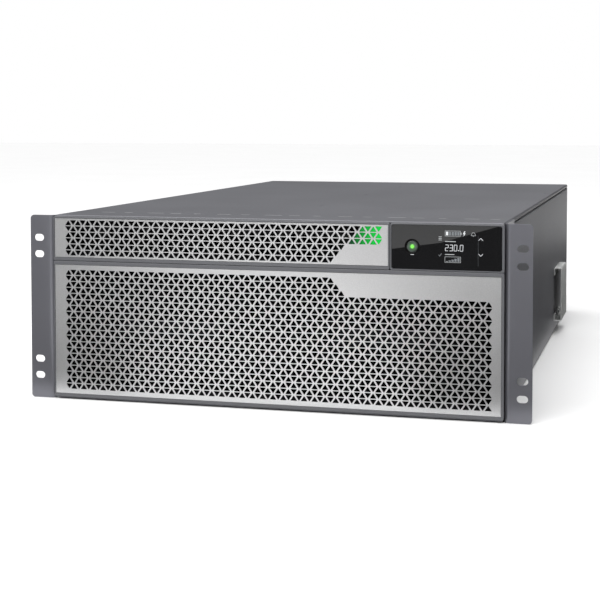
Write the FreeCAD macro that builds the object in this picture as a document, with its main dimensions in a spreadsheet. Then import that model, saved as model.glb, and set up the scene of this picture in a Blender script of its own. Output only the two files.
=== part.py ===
"""A 4U rack-mounted uninterruptible power supply, one solid or group of solids for each piece.

Frame: X to the right, Y to the back, Z up, in millimetres. The origin is on the floor plane under the
middle of the whole box. The front faces -Y and the rack ears' front faces are at ear_plane.
"""
import FreeCAD, Part
import math
import os
import re
import Sketcher

Vector = FreeCAD.Vector
doc = FreeCAD.newDocument("rack_ups")
sheet = doc.addObject("Spreadsheet::Sheet", "Dimensions")

DIMENSIONS = {
    # the 19-inch rack standard, four units high
    "ear_half_span": 241.3, "panel_height": 177.0, "panel_middle": 88.5,
    "rack_hole_span": 232.55, "rack_hole_outer": 66.675, "rack_hole_inner": 50.8,
    "rack_slot_length": 10.3, "rack_slot_width": 6.8, "ear_gauge": 2.0, "ear_wrap": 60.0,
    "ear_corner": 3.5, "ear_plane": -360.7, "screw_reach": 4.0,
    # the case
    "case_half": 216.0, "case_floor": 1.0, "case_top": 177.5, "gauge": 1.5, "wall_top": 172.7,
    "wall_flange": 14.0, "cover_lip": 4.1, "cover_bend": 1.2, "cover_front_lip": 8.0, "rear_face": 356.3,
    "rear_reach": 363.0, "front_gap": 0.3, "running_gap": 0.4,
    # the two bezels
    "bezel_front": -363.0, "bezel_half": 216.5, "bezel_skin": 2.0, "bezel_inner": 211.5,
    "bezel_wall": 4.0, "bezel_back": -342.0, "bezel_top": 176.1, "upper_low": 133.9, "lower_high": 133.3,
    "lower_low": 2.6, "upper_right": 113.3, "plate_front": -362.6, "plate_gauge": 1.0, "plate_left": -215.0,
    "upper_plate_right": 111.8, "upper_plate_low": 137.0, "upper_plate_high": 174.4,
    "lower_plate_right": 214.0, "lower_plate_low": 5.6, "lower_plate_high": 129.8,
    "ring_low": 5.5, "ring_mid_low": 130.8, "ring_mid_high": 136.4, "ring_high": 168.0,
    "stud_radius": 1.8, "stud_tip": -331.0, "stud_column": 209.5, "hole_pitch": 4.985,
    "hole_row_pitch": 5.78, "first_hole": -200.8, "accent_row": 170.1, "accent_half": 2.55,
    "accent_gauge": 0.45, "accent_end": 61.5, "accent_margin": 0.1,
    # the display module
    "display_left": 113.8, "display_right": 216.3, "glass_left": 115.2, "glass_right": 214.2,
    "glass_low": 135.2, "glass_high": 174.6, "glass_gauge": 1.2, "glass_gap": 0.4, "button_column": 133.9,
    "button_height": 155.3, "ring_outer": 6.9, "ring_inner": 5.3, "button_radius": 5.0, "button_travel": 1.2,
    "lcd_left": 152.0, "lcd_right": 204.0, "lcd_low": 142.0, "lcd_high": 166.0,
    # inner sheet metal and the battery bay
    "bulkhead_front": -329.5, "bay_left": 7.0, "bay_right": 205.0, "bay_roof": 131.0, "bay_end": 80.0,
    "shelf_low": 132.0, "battery_front": -326.0, "battery_back": 68.0, "battery_top": 129.6,
    "battery_side": 0.6, "battery_wall": 1.2, "cell_width": 151.0, "cell_depth": 62.0, "cell_height": 94.0,
    # rear equipment
    "fan_size": 80.0, "fan_depth": 25.0, "fan_height": 122.0, "fan_bore": 38.0, "fan_tip": 36.5,
    "fan_hub": 15.0, "fan_first": -162.0, "fan_pitch": 88.0, "fan_screw_span": 35.75,
    "guard_height": 1.8, "guard_wire": 1.8,
    "outlet_low": 22.0, "outlet_high": 56.0, "socket_pitch": 30.0,
    # side brackets
    "bracket_face": 226.0, "bracket_low": 15.6, "bracket_high": 82.6, "bracket_front": 149.3,
    "bracket_back": 222.3, "bracket_lip": 9.0,
}
for row, (alias, number) in enumerate(DIMENSIONS.items(), start=1):
    sheet.set(f"A{row}", alias)
    sheet.set(f"B{row}", str(number))
    sheet.setAlias(f"B{row}", alias)
doc.recompute()

NODES = []


def bound(text):
    """Writes a sum of alias names as an expression on the sheet."""
    def named(match):
        word = match.group()
        return "Dimensions." + word if word in DIMENSIONS else word
    return re.sub(r"[a-z_]+", named, str(text))


def size(text):
    """The number that a sum of alias names comes to."""
    return float(sheet.evalExpression(bound(text)))


def node(name, thing):
    """Names a finished piece. Its label is the name of its file."""
    thing.Label = name
    NODES.append(thing)
    return thing


def place(thing, at):
    for letter, text in zip("xyz", at):
        thing.setExpression("Placement.Base." + letter, bound(text))


def block(low, high):
    """A box between two corners, each coordinate a sum on the sheet."""
    thing = doc.addObject("Part::Box", "Block")
    for side, start, end in zip(("Length", "Width", "Height"), low, high):
        thing.setExpression(side, bound(f"({end}) - ({start})"))
    place(thing, low)
    return thing


TURNS = {"x": FreeCAD.Rotation(Vector(0, 1, 0), 90), "y": FreeCAD.Rotation(Vector(1, 0, 0), -90),
         "z": FreeCAD.Rotation()}


def rod(radius, start, length, along="y"):
    """A cylinder that runs from start in the positive direction of an axis."""
    thing = doc.addObject("Part::Cylinder", "Rod")
    thing.Placement.Rotation = TURNS[along]
    thing.setExpression("Radius", bound(radius))
    thing.setExpression("Height", bound(length))
    place(thing, start)
    return thing


def joined(*things):
    thing = doc.addObject("Part::MultiFuse", "Joined")
    thing.Shapes = list(things)
    thing.Refine = True
    return thing


def group(*things):
    """Separate solids that share one node."""
    thing = doc.addObject("Part::Compound", "Group")
    thing.Links = list(things)
    return thing


def cut(base, *tools):
    thing = doc.addObject("Part::Cut", "Cut")
    thing.Base = base
    thing.Tool = tools[0] if len(tools) == 1 else group(*tools)
    return thing


PLANES = {"XY": ("XY_Plane", 1), "XZ": ("XZ_Plane", -1), "YZ": ("YZ_Plane", 1)}


def sketch(body, plane, points, station):
    """A closed outline of straight lines. Both coordinates of each corner are bound to the sheet."""
    role, sense = PLANES[plane]
    drawing = body.newObject("Sketcher::SketchObject", "Outline")
    origin_plane = next(item for item in body.Origin.OriginFeatures if item.Role == role)
    drawing.AttachmentSupport = [(origin_plane, "")]
    drawing.MapMode = "FlatFace"
    drawing.setExpression("AttachmentOffset.Base.z", bound(f"{sense} * ({station})"))
    corners = [(size(across), size(up)) for across, up in points]
    count = len(corners)
    for index, corner in enumerate(corners):
        following = corners[(index + 1) % count]
        drawing.addGeometry(Part.LineSegment(Vector(*corner, 0), Vector(*following, 0)))
    for index in range(count):
        drawing.addConstraint(Sketcher.Constraint("Coincident", index, 2, (index + 1) % count, 1))
    for index, (corner, texts) in enumerate(zip(corners, points)):
        for kind, number, text in zip(("DistanceX", "DistanceY"), corner, texts):
            constraint = drawing.addConstraint(Sketcher.Constraint(kind, -1, 1, index, 1, number))
            drawing.setExpression(f"Constraints[{constraint}]", bound(text))
    return drawing


def add(body, plane, points, start, end):
    """Pads an outline between two stations along its plane's normal."""
    feature = body.newObject("PartDesign::Pad", "Pad")
    feature.Profile = sketch(body, plane, points, start)
    feature.setExpression("Length", bound(f"({end}) - ({start})"))
    feature.Reversed = PLANES[plane][1] < 0
    return feature


def remove(body, plane, points, start, end):
    """Pockets an outline between two stations along its plane's normal."""
    feature = body.newObject("PartDesign::Pocket", "Pocket")
    feature.Profile = sketch(body, plane, points, start)
    feature.setExpression("Length", bound(f"({end}) - ({start})"))
    feature.Reversed = PLANES[plane][1] > 0
    return feature


def round_edges(body, radius, chosen):
    """Rounds the edges of a body that chosen says yes to, given the edge's box."""
    doc.recompute()
    finished = body.Tip
    edges = [f"Edge{index}" for index, edge in enumerate(body.Shape.Edges, start=1) if chosen(edge.BoundBox)]
    feature = body.newObject("PartDesign::Fillet", "Rounding")
    feature.Base = (finished, edges)
    feature.setExpression("Radius", bound(radius))
    doc.recompute()


def rectangle(left, right, low, high):
    return [(left, low), (right, low), (right, high), (left, high)]


def body_named(name):
    return node(name, doc.addObject("PartDesign::Body", "Body"))


def mirrored(side, left, right):
    """The two ends of a span on the right of the case, or its mirror image on the left."""
    return (left, right) if side > 0 else (f"-({right})", f"-({left})")


def grid(columns, rows):
    return [(column, row) for row in rows for column in columns]


# ---------------------------------------------------------------- case sheet metal
EAR_SCREWS = grid(("ear_plane + 22", "ear_plane + 48"), (20, 62, 115, 157))
RIVETS = grid(("bracket_front + 16", "bracket_back - 16"), ("bracket_low + 6", "bracket_high - 6"))
COVER_SCREWS = [("0", "-172.7"), ("0", "36.3"), ("0", "245.3"), ("0", "334.3"), ("208", "-92.7"),
                ("-208", "-92.7"), ("208", "120"), ("-208", "120"), ("208", "320"), ("-208", "320")]


def chassis_tray():
    body = doc.addObject("PartDesign::Body", "Body")
    outer, inner = "case_half", "case_half - gauge"
    lip, under = "case_half - wall_flange", "wall_top - gauge"
    right = [(outer, "case_floor"), (outer, "wall_top"), (lip, "wall_top"), (lip, under), (inner, under),
             (inner, "case_floor + gauge")]
    left = [(f"-({across})", up) for across, up in reversed(right)]
    add(body, "XZ", right + left, "ear_plane + front_gap", "rear_face - gauge")
    doc.recompute()
    holes = [rod(2, (f"-{outer} - 1", along, up), "2 * case_half + 2", "x") for along, up in EAR_SCREWS]
    holes += [rod(1.6, (f"-{outer} - 1", along, up), "2 * case_half + 2", "x") for along, up in RIVETS]
    holes += [rod(1.5, (across, along, "wall_top - 3"), 6, "z") for across, along in COVER_SCREWS
              if across != "0"]
    node("chassis_tray", cut(body, *holes))


def top_cover():
    body = doc.addObject("PartDesign::Body", "Body")
    side, inner = "case_half", "case_half - gauge"
    under, lip = "case_top - gauge", "case_top - cover_lip"
    arch = [(f"-{side}", lip), (f"-({inner})", lip), (f"-({inner})", under), (inner, under), (inner, lip),
            (side, lip), (side, "case_top"), (f"-{side}", "case_top")]
    add(body, "XZ", arch, "ear_plane", "rear_face")
    apron = "case_half - wall_flange - 0.5"
    add(body, "XZ", rectangle(f"-({apron})", apron, "case_top - cover_front_lip", under), "ear_plane",
        "ear_plane + gauge")
    add(body, "XZ", rectangle(f"-({inner})", inner, lip, under), "rear_face - gauge", "rear_face")
    front, top = size("ear_plane") + 0.01, size("case_top") - 0.01
    round_edges(body, "cover_bend", lambda box: box.ZMin > top and box.YMax < front)
    holes = [rod(1.5, (across, along, "case_top - 4"), 6, "z") for across, along in COVER_SCREWS]
    node("top_cover", cut(body, *holes))


def cover_fixings():
    """The rail under the middle of the cover, spacers on the tray's flanges, and the screws."""
    rail = block(("-14", "-190", "case_top - gauge - 12"), ("14", "rear_face - gauge", "case_top - gauge"))
    channel = block(("-12.5", "-191", "case_top - gauge - 13"), ("12.5", "rear_face", "case_top - 2 * gauge"))
    holes = [rod(1.5, (across, along, "case_top - 5"), 6, "z") for across, along in COVER_SCREWS
             if across == "0"]
    spacers = [cut(rod(4, (across, along, "wall_top"), "case_top - gauge - wall_top", "z"),
                   rod(1.5, (across, along, "wall_top - 1"), 8, "z"))
               for across, along in COVER_SCREWS if across != "0"]
    node("cover_supports", group(cut(rail, channel, *holes), *spacers))
    screws = []
    for across, along in COVER_SCREWS:
        depth = "2 * gauge" if across == "0" else "case_top - wall_top + gauge"
        shank = rod(1.5, (across, along, f"case_top - ({depth})"), depth, "z")
        head = rod(2.9, (across, along, "case_top"), 0.3, "z")
        screws.append(joined(shank, head))
    node("cover_screws", group(*screws))


def rear_panel():
    body = doc.addObject("PartDesign::Body", "Body")
    start, end = "rear_face - gauge", "rear_face"
    add(body, "XZ", rectangle("-case_half", "case_half", "case_floor", "wall_top"), start, end)
    for left, right, low, high in REAR_WINDOWS:
        remove(body, "XZ", rectangle(left, right, low, high), start, end)
    doc.recompute()
    holes = [rod("fan_bore", (middle, "rear_face - gauge - 1", "fan_height"), "gauge + 2") for middle in FANS]
    holes += [rod(2, (f"{middle} + {dx} * fan_screw_span", "rear_face - gauge - 1",
                      f"fan_height + {dz} * fan_screw_span"), "gauge + 2")
              for middle in FANS for dx, dz in grid((-1, 1), (-1, 1))]
    holes += [rod(radius, (across, "rear_face - gauge - 1", up), "gauge + 2")
              for across, up, radius in REAR_HOLES]
    node("rear_panel", cut(body, *holes))


def inner_walls():
    """The bulkhead that the bezels clip to, the shelf over the batteries and the bay's walls."""
    body = doc.addObject("PartDesign::Body", "Body")
    edge, front, back = "case_half - gauge - 0.5", "bulkhead_front", "bulkhead_front + gauge"
    add(body, "XZ", rectangle(f"-({edge})", edge, "case_floor + gauge", "ring_high + 1"), front, back)
    for side in (-1, 1):
        left, right = mirrored(side, "bay_left", "bay_right")
        remove(body, "XZ", rectangle(left, right, "case_floor + gauge", "bay_roof"), front, back)
    remove(body, "XZ", rectangle("-200", "98", "140", "164"), front, back)
    remove(body, "XZ", rectangle("124", "200", "142", "162"), front, back)
    doc.recompute()
    holes = [rod("stud_radius + running_gap", (across, "bulkhead_front - 1", up), 5)
             for across, up in UPPER_STUDS + LOWER_STUDS]
    node("front_bulkhead", cut(body, *holes))
    clips = []
    for across, up in UPPER_STUDS + LOWER_STUDS:
        centre = rod("4.2", (across, "bulkhead_front + gauge", up), 5)
        clips.append(cut(centre, rod("stud_radius + running_gap", (across, "bulkhead_front", up), 9)))
    node("bezel_clips", group(*clips))
    shelf = body_named("mid_shelf")
    add(shelf, "XY", rectangle(f"-({edge})", edge, back, "bay_end"), "shelf_low", "shelf_low + gauge")
    add(shelf, "XZ", rectangle("-190", "190", "shelf_low + gauge", "shelf_low + gauge + 6"),
        "bay_end - gauge", "bay_end")
    rear_wall = body_named("bay_walls")
    add(rear_wall, "XZ", rectangle(f"-({edge})", edge, "case_floor + gauge", "shelf_low + 30"), "bay_end",
        "bay_end + gauge")
    for side in (-1, 1):
        left, right = mirrored(side, "80", "132")
        remove(rear_wall, "XZ", rectangle(left, right, "40", "64"), "bay_end", "bay_end + gauge")
    add(rear_wall, "YZ", rectangle(back, "bay_end", "case_floor + gauge", "shelf_low"), "-gauge / 2",
        "gauge / 2")


# ---------------------------------------------------------------- rack ears and brackets
def rack_ear(name, side):
    body = doc.addObject("PartDesign::Body", "Body")
    inner, bend, outer = "case_half", "case_half + ear_gauge", "ear_half_span"
    front, back = "ear_plane", "ear_plane + ear_gauge"
    profile = [(inner, front), (outer, front), (outer, back), (bend, back), (bend, "ear_plane + ear_wrap"),
               (inner, "ear_plane + ear_wrap")]
    if side < 0:
        profile = [(f"-({across})", along) for across, along in reversed(profile)]
    add(body, "XY", profile, "0", "panel_height")
    span = size("ear_half_span") - 0.01
    round_edges(body, "ear_corner",
                lambda box: box.XLength < 0.01 and box.ZLength < 0.01 and abs(box.XMin) > span)
    tools = []
    for reach in ("rack_hole_outer", "rack_hole_inner"):
        for sense in (-1, 1):
            up = f"panel_middle + {sense} * {reach}"
            half = "(rack_slot_length - rack_slot_width) / 2"
            middle = f"{side} * rack_hole_span"
            ends = [rod("rack_slot_width / 2", (f"{middle} + {end} * {half}", "ear_plane - 1", up),
                        "ear_gauge + 2") for end in (-1, 1)]
            waist = block((f"{middle} - {half}", "ear_plane - 1", f"{up} - rack_slot_width / 2"),
                          (f"{middle} + {half}", "ear_plane + ear_gauge + 1", f"{up} + rack_slot_width / 2"))
            tools.append(joined(waist, *ends))
    for along, up in EAR_SCREWS:
        left, right = mirrored(side, "case_half - 1", "case_half + ear_gauge + 1")
        tools.append(rod(2, (left, along, up), f"({right}) - ({left})", "x"))
        left, right = mirrored(side, "case_half + ear_gauge - 1.1", "case_half + ear_gauge + 1")
        tools.append(rod(3.8, (left, along, up), f"({right}) - ({left})", "x"))
    node(name, cut(body, *tools))


def ear_screws():
    screws = []
    for side in (-1, 1):
        for along, up in EAR_SCREWS:
            left, right = mirrored(side, "case_half - screw_reach", "case_half + ear_gauge - 1.1")
            shank = rod(2, (left, along, up), f"({right}) - ({left})", "x")
            left, right = mirrored(side, "case_half + ear_gauge - 1.1", "case_half + ear_gauge - 0.1")
            head = rod(3.8, (left, along, up), f"({right}) - ({left})", "x")
            screws.append(joined(shank, head))
    return screws


def side_bracket(name, side):
    """A zinc channel on the side near the rear, with two lips that lie on the case."""
    body = doc.addObject("PartDesign::Body", "Body")
    wall, face = "case_half", "bracket_face"
    low, high = "bracket_low", "bracket_high"
    section = [(wall, low), (face, low), (face, high), (wall, high), (wall, f"{high} - bracket_lip"),
               (f"{wall} + gauge", f"{high} - bracket_lip"), (f"{wall} + gauge", f"{high} - gauge"),
               (f"{face} - gauge", f"{high} - gauge"), (f"{face} - gauge", f"{low} + gauge"),
               (f"{wall} + gauge", f"{low} + gauge"), (f"{wall} + gauge", f"{low} + bracket_lip"),
               (wall, f"{low} + bracket_lip")]
    if side < 0:
        section = [(f"-({across})", up) for across, up in reversed(section)]
    add(body, "XZ", section, "bracket_front", "bracket_back")
    doc.recompute()
    holes = []
    for along, up in RIVETS:
        left, right = mirrored(side, "case_half - 1", "case_half + gauge + 1")
        holes.append(rod(1.6, (left, along, up), f"({right}) - ({left})", "x"))
    node(name, cut(body, *holes))


def bracket_rivets():
    rivets = []
    for side in (-1, 1):
        for along, up in RIVETS:
            left, right = mirrored(side, "case_half - gauge", "case_half + gauge")
            shank = rod(1.6, (left, along, up), f"({right}) - ({left})", "x")
            left, right = mirrored(side, "case_half + gauge", "case_half + gauge + 1.2")
            head = rod(2.8, (left, along, up), f"({right}) - ({left})", "x")
            rivets.append(joined(shank, head))
    return rivets


# ---------------------------------------------------------------- bezels
UPPER_STUDS = grid(("-stud_column", "upper_right - 3.8"), ("146", "160"))
LOWER_STUDS = grid(("-stud_column", "stud_column"), ("22", "114"))


def bezel(name, outer, ring, recess, studs, pockets=()):
    """A moulded frame: a thin skin with a seat for the metal plate, four walls behind it and ball studs."""
    left, right, low, high = outer
    skin = block((left, "bezel_front", low), (right, "bezel_front + bezel_skin", high))
    inner_left, inner_right, inner_low, inner_high = ring
    skin_back = "bezel_front + bezel_skin"
    walls = block((inner_left, skin_back, inner_low), (inner_right, "bezel_back", inner_high))
    air = block((f"{inner_left} + bezel_wall", "bezel_front - 1", f"{inner_low} + bezel_wall"),
                (f"{inner_right} - bezel_wall", "bezel_back + 1", f"{inner_high} - bezel_wall"))
    plate_left, plate_right, plate_low, plate_high = recess
    seat = block((f"{plate_left} - 0.2", "bezel_front - 1", f"{plate_low} - 0.2"),
                 (f"{plate_right} + 0.2", "plate_front + plate_gauge", f"{plate_high} + 0.2"))
    pegs = [rod("stud_radius", (across, "bezel_back", up), "stud_tip - (bezel_back) + 6")
            for across, up in studs]
    node(name, cut(joined(skin, walls, *pegs), air, seat, *pockets))


UPPER_PLATE = ("plate_left", "upper_plate_right", "upper_plate_low", "upper_plate_high")
LOWER_PLATE = ("plate_left", "lower_plate_right", "lower_plate_low", "lower_plate_high")
ACCENT_ROWS = [(0, 57.5), (1, 56.5), (2, 55.5)]


def accent_strips(margin, gauge):
    """Strips behind the last holes of the upper plate's first three rows, grown on all sides by a margin."""
    back = "plate_front + plate_gauge"
    return [block((f"first_hole + {first} * hole_pitch - {margin}", back,
                   f"accent_row - {row} * hole_row_pitch - accent_half - {margin}"),
                  (f"first_hole + accent_end * hole_pitch + {margin}", f"{back} + {gauge}",
                   f"accent_row - {row} * hole_row_pitch + accent_half + {margin}"))
            for row, first in ACCENT_ROWS]


def bezels():
    bezel("upper_bezel_frame", ("-bezel_half", "upper_right", "upper_low", "bezel_top"),
          ("-bezel_inner", "upper_right - 1.8", "ring_mid_high", "ring_high"), UPPER_PLATE, UPPER_STUDS,
          accent_strips("accent_margin", "bezel_skin - plate_gauge - 0.4"))
    bezel("lower_bezel_frame", ("-bezel_half", "bezel_half", "lower_low", "lower_high"),
          ("-bezel_inner", "bezel_inner", "ring_low", "ring_mid_low"), LOWER_PLATE, LOWER_STUDS)
    for name, (left, right, low, high) in (("upper_grille", UPPER_PLATE), ("lower_grille", LOWER_PLATE)):
        plate = body_named(name)
        add(plate, "XZ", rectangle(left, right, low, high), "plate_front", "plate_front + plate_gauge")
    node("grille_accents", group(*accent_strips("0", "accent_gauge")))


# ---------------------------------------------------------------- display module and power button
def display_module():
    pocket_back = "bezel_front + glass_gauge + 0.2"
    skin = block(("display_left", "bezel_front", "upper_low"),
                 ("display_right", "bezel_front + bezel_skin", "bezel_top"))
    box = block(("display_left + 3", "bezel_front + bezel_skin", "ring_mid_high + 1"),
                ("bezel_inner", "bulkhead_front", "ring_high"))
    hollow = block(("display_left + 5", "bezel_front + 3.6", "ring_mid_high + 3"),
                   ("bezel_inner - 2", "bulkhead_front + 1", "ring_high - 2"))
    pocket = block(("glass_left - glass_gap", "bezel_front - 1", "glass_low - glass_gap"),
                   ("glass_right + glass_gap", pocket_back, "glass_high + glass_gap"))
    window = block(("lcd_left", "bezel_front", "lcd_low"), ("lcd_right", "bezel_front + 5", "lcd_high"))
    passage = rod("ring_outer + 0.2", ("button_column", "bezel_front - 1", "button_height"), 8)
    node("display_housing", cut(joined(skin, box), hollow, pocket, window, passage))
    pane = block(("glass_left", "bezel_front", "glass_low"), ("glass_right", pocket_back, "glass_high"))
    hole = rod("ring_outer", ("button_column", "bezel_front - 1", "button_height"), 8)
    node("display_glass", cut(pane, hole))
    node("lcd_panel", block(("lcd_left - 2", "bezel_front + 3.7", "lcd_low - 1"),
                            ("lcd_right + 2", "bezel_front + 7", "lcd_high - 0.2")))
    board = block(("display_left + 6", "-349", "ring_mid_high + 4"),
                  ("bezel_inner - 3", "-347.4", "ring_high - 3"))
    switch = block(("button_column - 3", "-353.2", "button_height - 3"),
                   ("button_column + 3", "-349", "button_height + 3"))
    posts = [rod(2, (across, "-347.4", up), "bulkhead_front + 347.4")
             for across, up in grid((122, 204), (145, 160))]
    node("display_board", group(board, switch, *posts))


def power_button():
    at = ("button_column", "bezel_front", "button_height")
    ahead = ("button_column", "bezel_front - 1", "button_height")
    node("button_ring", cut(rod("ring_outer", at, 4), rod("ring_inner", ahead, 6)))
    cap = rod("button_radius", ("button_column", "bezel_front + 0.3", "button_height"), 7.6)
    bore = rod(2, ahead, 12)
    node("power_button", cut(cap, bore))
    node("button_light_pipe", rod(2, ("button_column", "bezel_front + 0.2", "button_height"), 7.7))


# ---------------------------------------------------------------- battery modules
def battery_module(word, side):
    left, right = mirrored(side, "bay_left + battery_side", "bay_right - battery_side")
    floor, wall = "case_floor + gauge + running_gap", "battery_wall"
    outside = block((left, "battery_front", floor), (right, "battery_back", "battery_top"))
    inside = block((f"{left} + {wall}", f"battery_front + {wall}", f"{floor} + {wall}"),
                   (f"{right} - {wall}", f"battery_back - {wall}", "battery_top + 1"))
    plug_left, plug_right = mirrored(side, "90", "122")
    plug = block((plug_left, "battery_back", "44"), (plug_right, "battery_back + 8", "60"))
    node(f"{word}_battery_case", joined(cut(outside, inside), plug))
    middle = f"{side} * (bay_left + bay_right) / 2"
    cells = []
    for index in range(6):
        start = f"battery_front + {wall} + 3 + {index} * (cell_depth + 3)"
        base = f"{floor} + {wall}"
        shell = block((f"{middle} - cell_width / 2", start, base),
                      (f"{middle} + cell_width / 2", f"{start} + cell_depth", f"{base} + cell_height"))
        tabs = [block((f"{middle} + {reach} - 3", f"{start} + 8", f"{base} + cell_height"),
                      (f"{middle} + {reach} + 3", f"{start} + 9", f"{base} + cell_height + 7"))
                for reach in (-62, 62)]
        cells += [shell, *tabs]
    node(f"{word}_battery_cells", group(*cells))
    pull = "battery_front - 12"
    grip = block((f"{middle} - 48", pull, "60"), (f"{middle} + 48", f"{pull} + 5", "74"))
    feet = [block((f"{middle} + {reach} - 4", f"{pull} + 5", "60"),
                  (f"{middle} + {reach} + 4", "battery_front", "74")) for reach in (-44, 44)]
    node(f"{word}_battery_handle", joined(grip, *feet))


def bay_connectors():
    """The fixed halves of the battery connectors, on the bay's rear wall."""
    shells = []
    for side in (-1, 1):
        left, right = mirrored(side, "81", "131")
        shell = block((left, "battery_back + running_gap", "40.5"), (right, "bay_end + 12", "63.5"))
        mouth_left, mouth_right = mirrored(side, "89.4", "122.6")
        mouth = block((mouth_left, "battery_back - 1", "43.4"), (mouth_right, "battery_back + 9", "60.6"))
        shells.append(cut(shell, mouth))
    node("bay_connectors", group(*shells))


# ---------------------------------------------------------------- power electronics
def on_legs(board, legs, low, high):
    return group(board, *[rod(3, (across, along, low), high, "z") for across, along in legs])


def electronics():
    floor = "case_floor + gauge"
    board = block(("-200", "96", f"{floor} + 8"), ("200", "286", f"{floor} + 10"))
    node("main_power_board", on_legs(board, grid((-190, 0, 190), (104, 278)), floor, 8))
    for name, left in (("rectifier_heatsink", -150), ("inverter_heatsink", 60)):
        sink = body_named(name)
        base = f"{floor} + 10"
        add(sink, "XZ", rectangle(left, left + 90, base, f"{base} + 8"), "110", "276")
        for index in range(12):
            fin = f"{left} + {index} * 88 / 11"
            add(sink, "XZ", rectangle(fin, f"{fin} + 2", f"{base} + 8", f"{base} + 62"), "110", "276")
    cans = [rod(17.5, (across, along, f"{floor} + 10"), 52, "z") for across, along in
            grid((-35, 8), (122, 160, 198, 236))]
    node("capacitor_bank", group(*cans))
    cores = []
    for along in (140, 200, 260):
        ring = rod(21, (178, along, f"{floor} + 10"), 24, "z")
        cores.append(cut(ring, rod(9, (178, along, floor), 60, "z")))
    node("power_inductors", group(*cores))
    deck = "shelf_low + gauge"
    control = block(("-195", "-300", f"{deck} + 6"), ("-15", "-60", f"{deck} + 7.6"))
    chips = [block((left, front, f"{deck} + 7.6"), (left + wide, front + wide, f"{deck} + 9.2"))
             for left, front, wide in ((-150, -240, 28), (-90, -230, 20), (-160, -140, 16), (-70, -120, 14))]
    legs = [rod(3, (across, along, deck), 6, "z") for across, along in grid((-188, -22), (-292, -68))]
    node("control_board", group(control, *chips, *legs))
    supply = block(("20", "-300", f"{deck} + 6"), ("190", "-60", f"{deck} + 7.6"))
    windings = [block((left, front, f"{deck} + 7.6"), (left + 34, front + 30, f"{deck} + 30"))
                for left, front in grid((40, 110), (-270, -180))]
    legs = [rod(3, (across, along, deck), 6, "z") for across, along in grid((27, 183), (-292, -68))]
    node("charger_board", group(supply, *windings, *legs))


# ---------------------------------------------------------------- rear equipment
FANS = [f"(fan_first + {index} * fan_pitch)" for index in range(3)]
CARD = ("108", "196", "132", "158")
PORTS = ("118", "188", "96", "118")
OUTLETS = [("first_outlets", "-204", 4), ("second_outlets", "-76", 4)]
TERMINALS = ("104", "204", "14", "74")
BREAKER = ("54", "92", "22", "66")
BATTERY_SOCKET = ("136", "186", "80", "92")
REAR_WINDOWS = [(left, f"{left} + {count} * socket_pitch", "outlet_low", "outlet_high")
                for name, left, count in OUTLETS]
REAR_WINDOWS += [CARD, PORTS, ("112", "196", "24", "64"), BREAKER, BATTERY_SOCKET]
RESET_AT = ("70", "84")
GROUND_AT = ("203", "100")
TERMINAL_SCREWS = [("110", "78"), ("198", "78")]
PANEL_SCREWS = grid(("-208", "208"), ("10", "166"))
REAR_HOLES = [(*RESET_AT, 5.2), (*GROUND_AT, 3.1)]
REAR_HOLES += [(across, up, 1.5) for across, up in PANEL_SCREWS]


def guard_arm(middle, sense):
    """A flat bar across a fan guard, from one corner eye to the opposite one."""
    thing = doc.addObject("Part::Box", "Arm")
    thing.Placement.Rotation = FreeCAD.Rotation(Vector(0, 1, 0), 45 * sense)
    reach = "(fan_screw_span - 2)"
    thing.setExpression("Length", bound("guard_wire"))
    thing.setExpression("Width", bound("guard_height / 2"))
    thing.setExpression("Height", bound(f"{reach} * 2 * sqrt(2)"))
    back = "guard_wire / 2 / sqrt(2)"
    place(thing, (f"{middle} - {sense} * {reach} - {back}", "rear_face",
                  f"fan_height - {reach} + {sense} * {back}"))
    return thing


def fans():
    frames, guards, screws = [], [], []
    back = "rear_face - gauge"
    front = f"{back} - fan_depth"
    for middle in FANS:
        half = "fan_size / 2"
        shell = block((f"{middle} - {half}", front, f"fan_height - {half}"),
                      (f"{middle} + {half}", back, f"fan_height + {half}"))
        bore = rod("fan_bore", (middle, f"{front} - 1", "fan_height"), "fan_depth + 2")
        drilled = [rod(2, (f"{middle} + {dx} * fan_screw_span", f"{front} - 1",
                           f"fan_height + {dz} * fan_screw_span"), "fan_depth + 2")
                   for dx, dz in grid((-1, 1), (-1, 1))]
        struts = [block((f"{middle} - fan_bore - 0.5", front, "fan_height - 2.5"),
                        (f"{middle} + fan_bore + 0.5", f"{front} + 2.5", "fan_height + 2.5")),
                  block((f"{middle} - 2.5", front, "fan_height - fan_bore - 0.5"),
                        (f"{middle} + 2.5", f"{front} + 2.5", "fan_height + fan_bore + 0.5"))]
        seat = rod("fan_hub", (middle, front, "fan_height"), 2.5)
        stator = rod(10, (middle, f"{front} + 2.5", "fan_height"), 14)
        bearing = rod(1.55, (middle, f"{front} + 1", "fan_height"), 20)
        frames.append(cut(joined(cut(shell, bore, *drilled), seat, stator, *struts), bearing))
        wires = [cut(rod(f"{radius} + guard_wire / 2", (middle, "rear_face + guard_height / 4", "fan_height"),
                         "guard_height * 3 / 4"),
                     rod(f"{radius} - guard_wire / 2", (middle, "rear_face - 1", "fan_height"), 5))
                 for radius in (10, 19, 28, 37)]
        arms = [guard_arm(middle, sense) for sense in (-1, 1)]
        corners = [(f"{middle} + {dx} * fan_screw_span", f"fan_height + {dz} * fan_screw_span")
                   for dx, dz in grid((-1, 1), (-1, 1))]
        eyes = [cut(rod(5, (across, "rear_face", up), "guard_height"), rod(2, (across, "rear_face - 1", up), 5))
                for across, up in corners]
        guards.append(joined(*wires, *arms, *eyes))
        for across, up in corners:
            shank = rod(2, (across, f"{front} + 5", up), "fan_depth - 5 + gauge + guard_height")
            screws.append(joined(shank, rod(3.6, (across, "rear_face + guard_height", up), 2)))
    node("fan_frames", group(*frames))
    node("fan_guards", group(*guards))
    return screws


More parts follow.
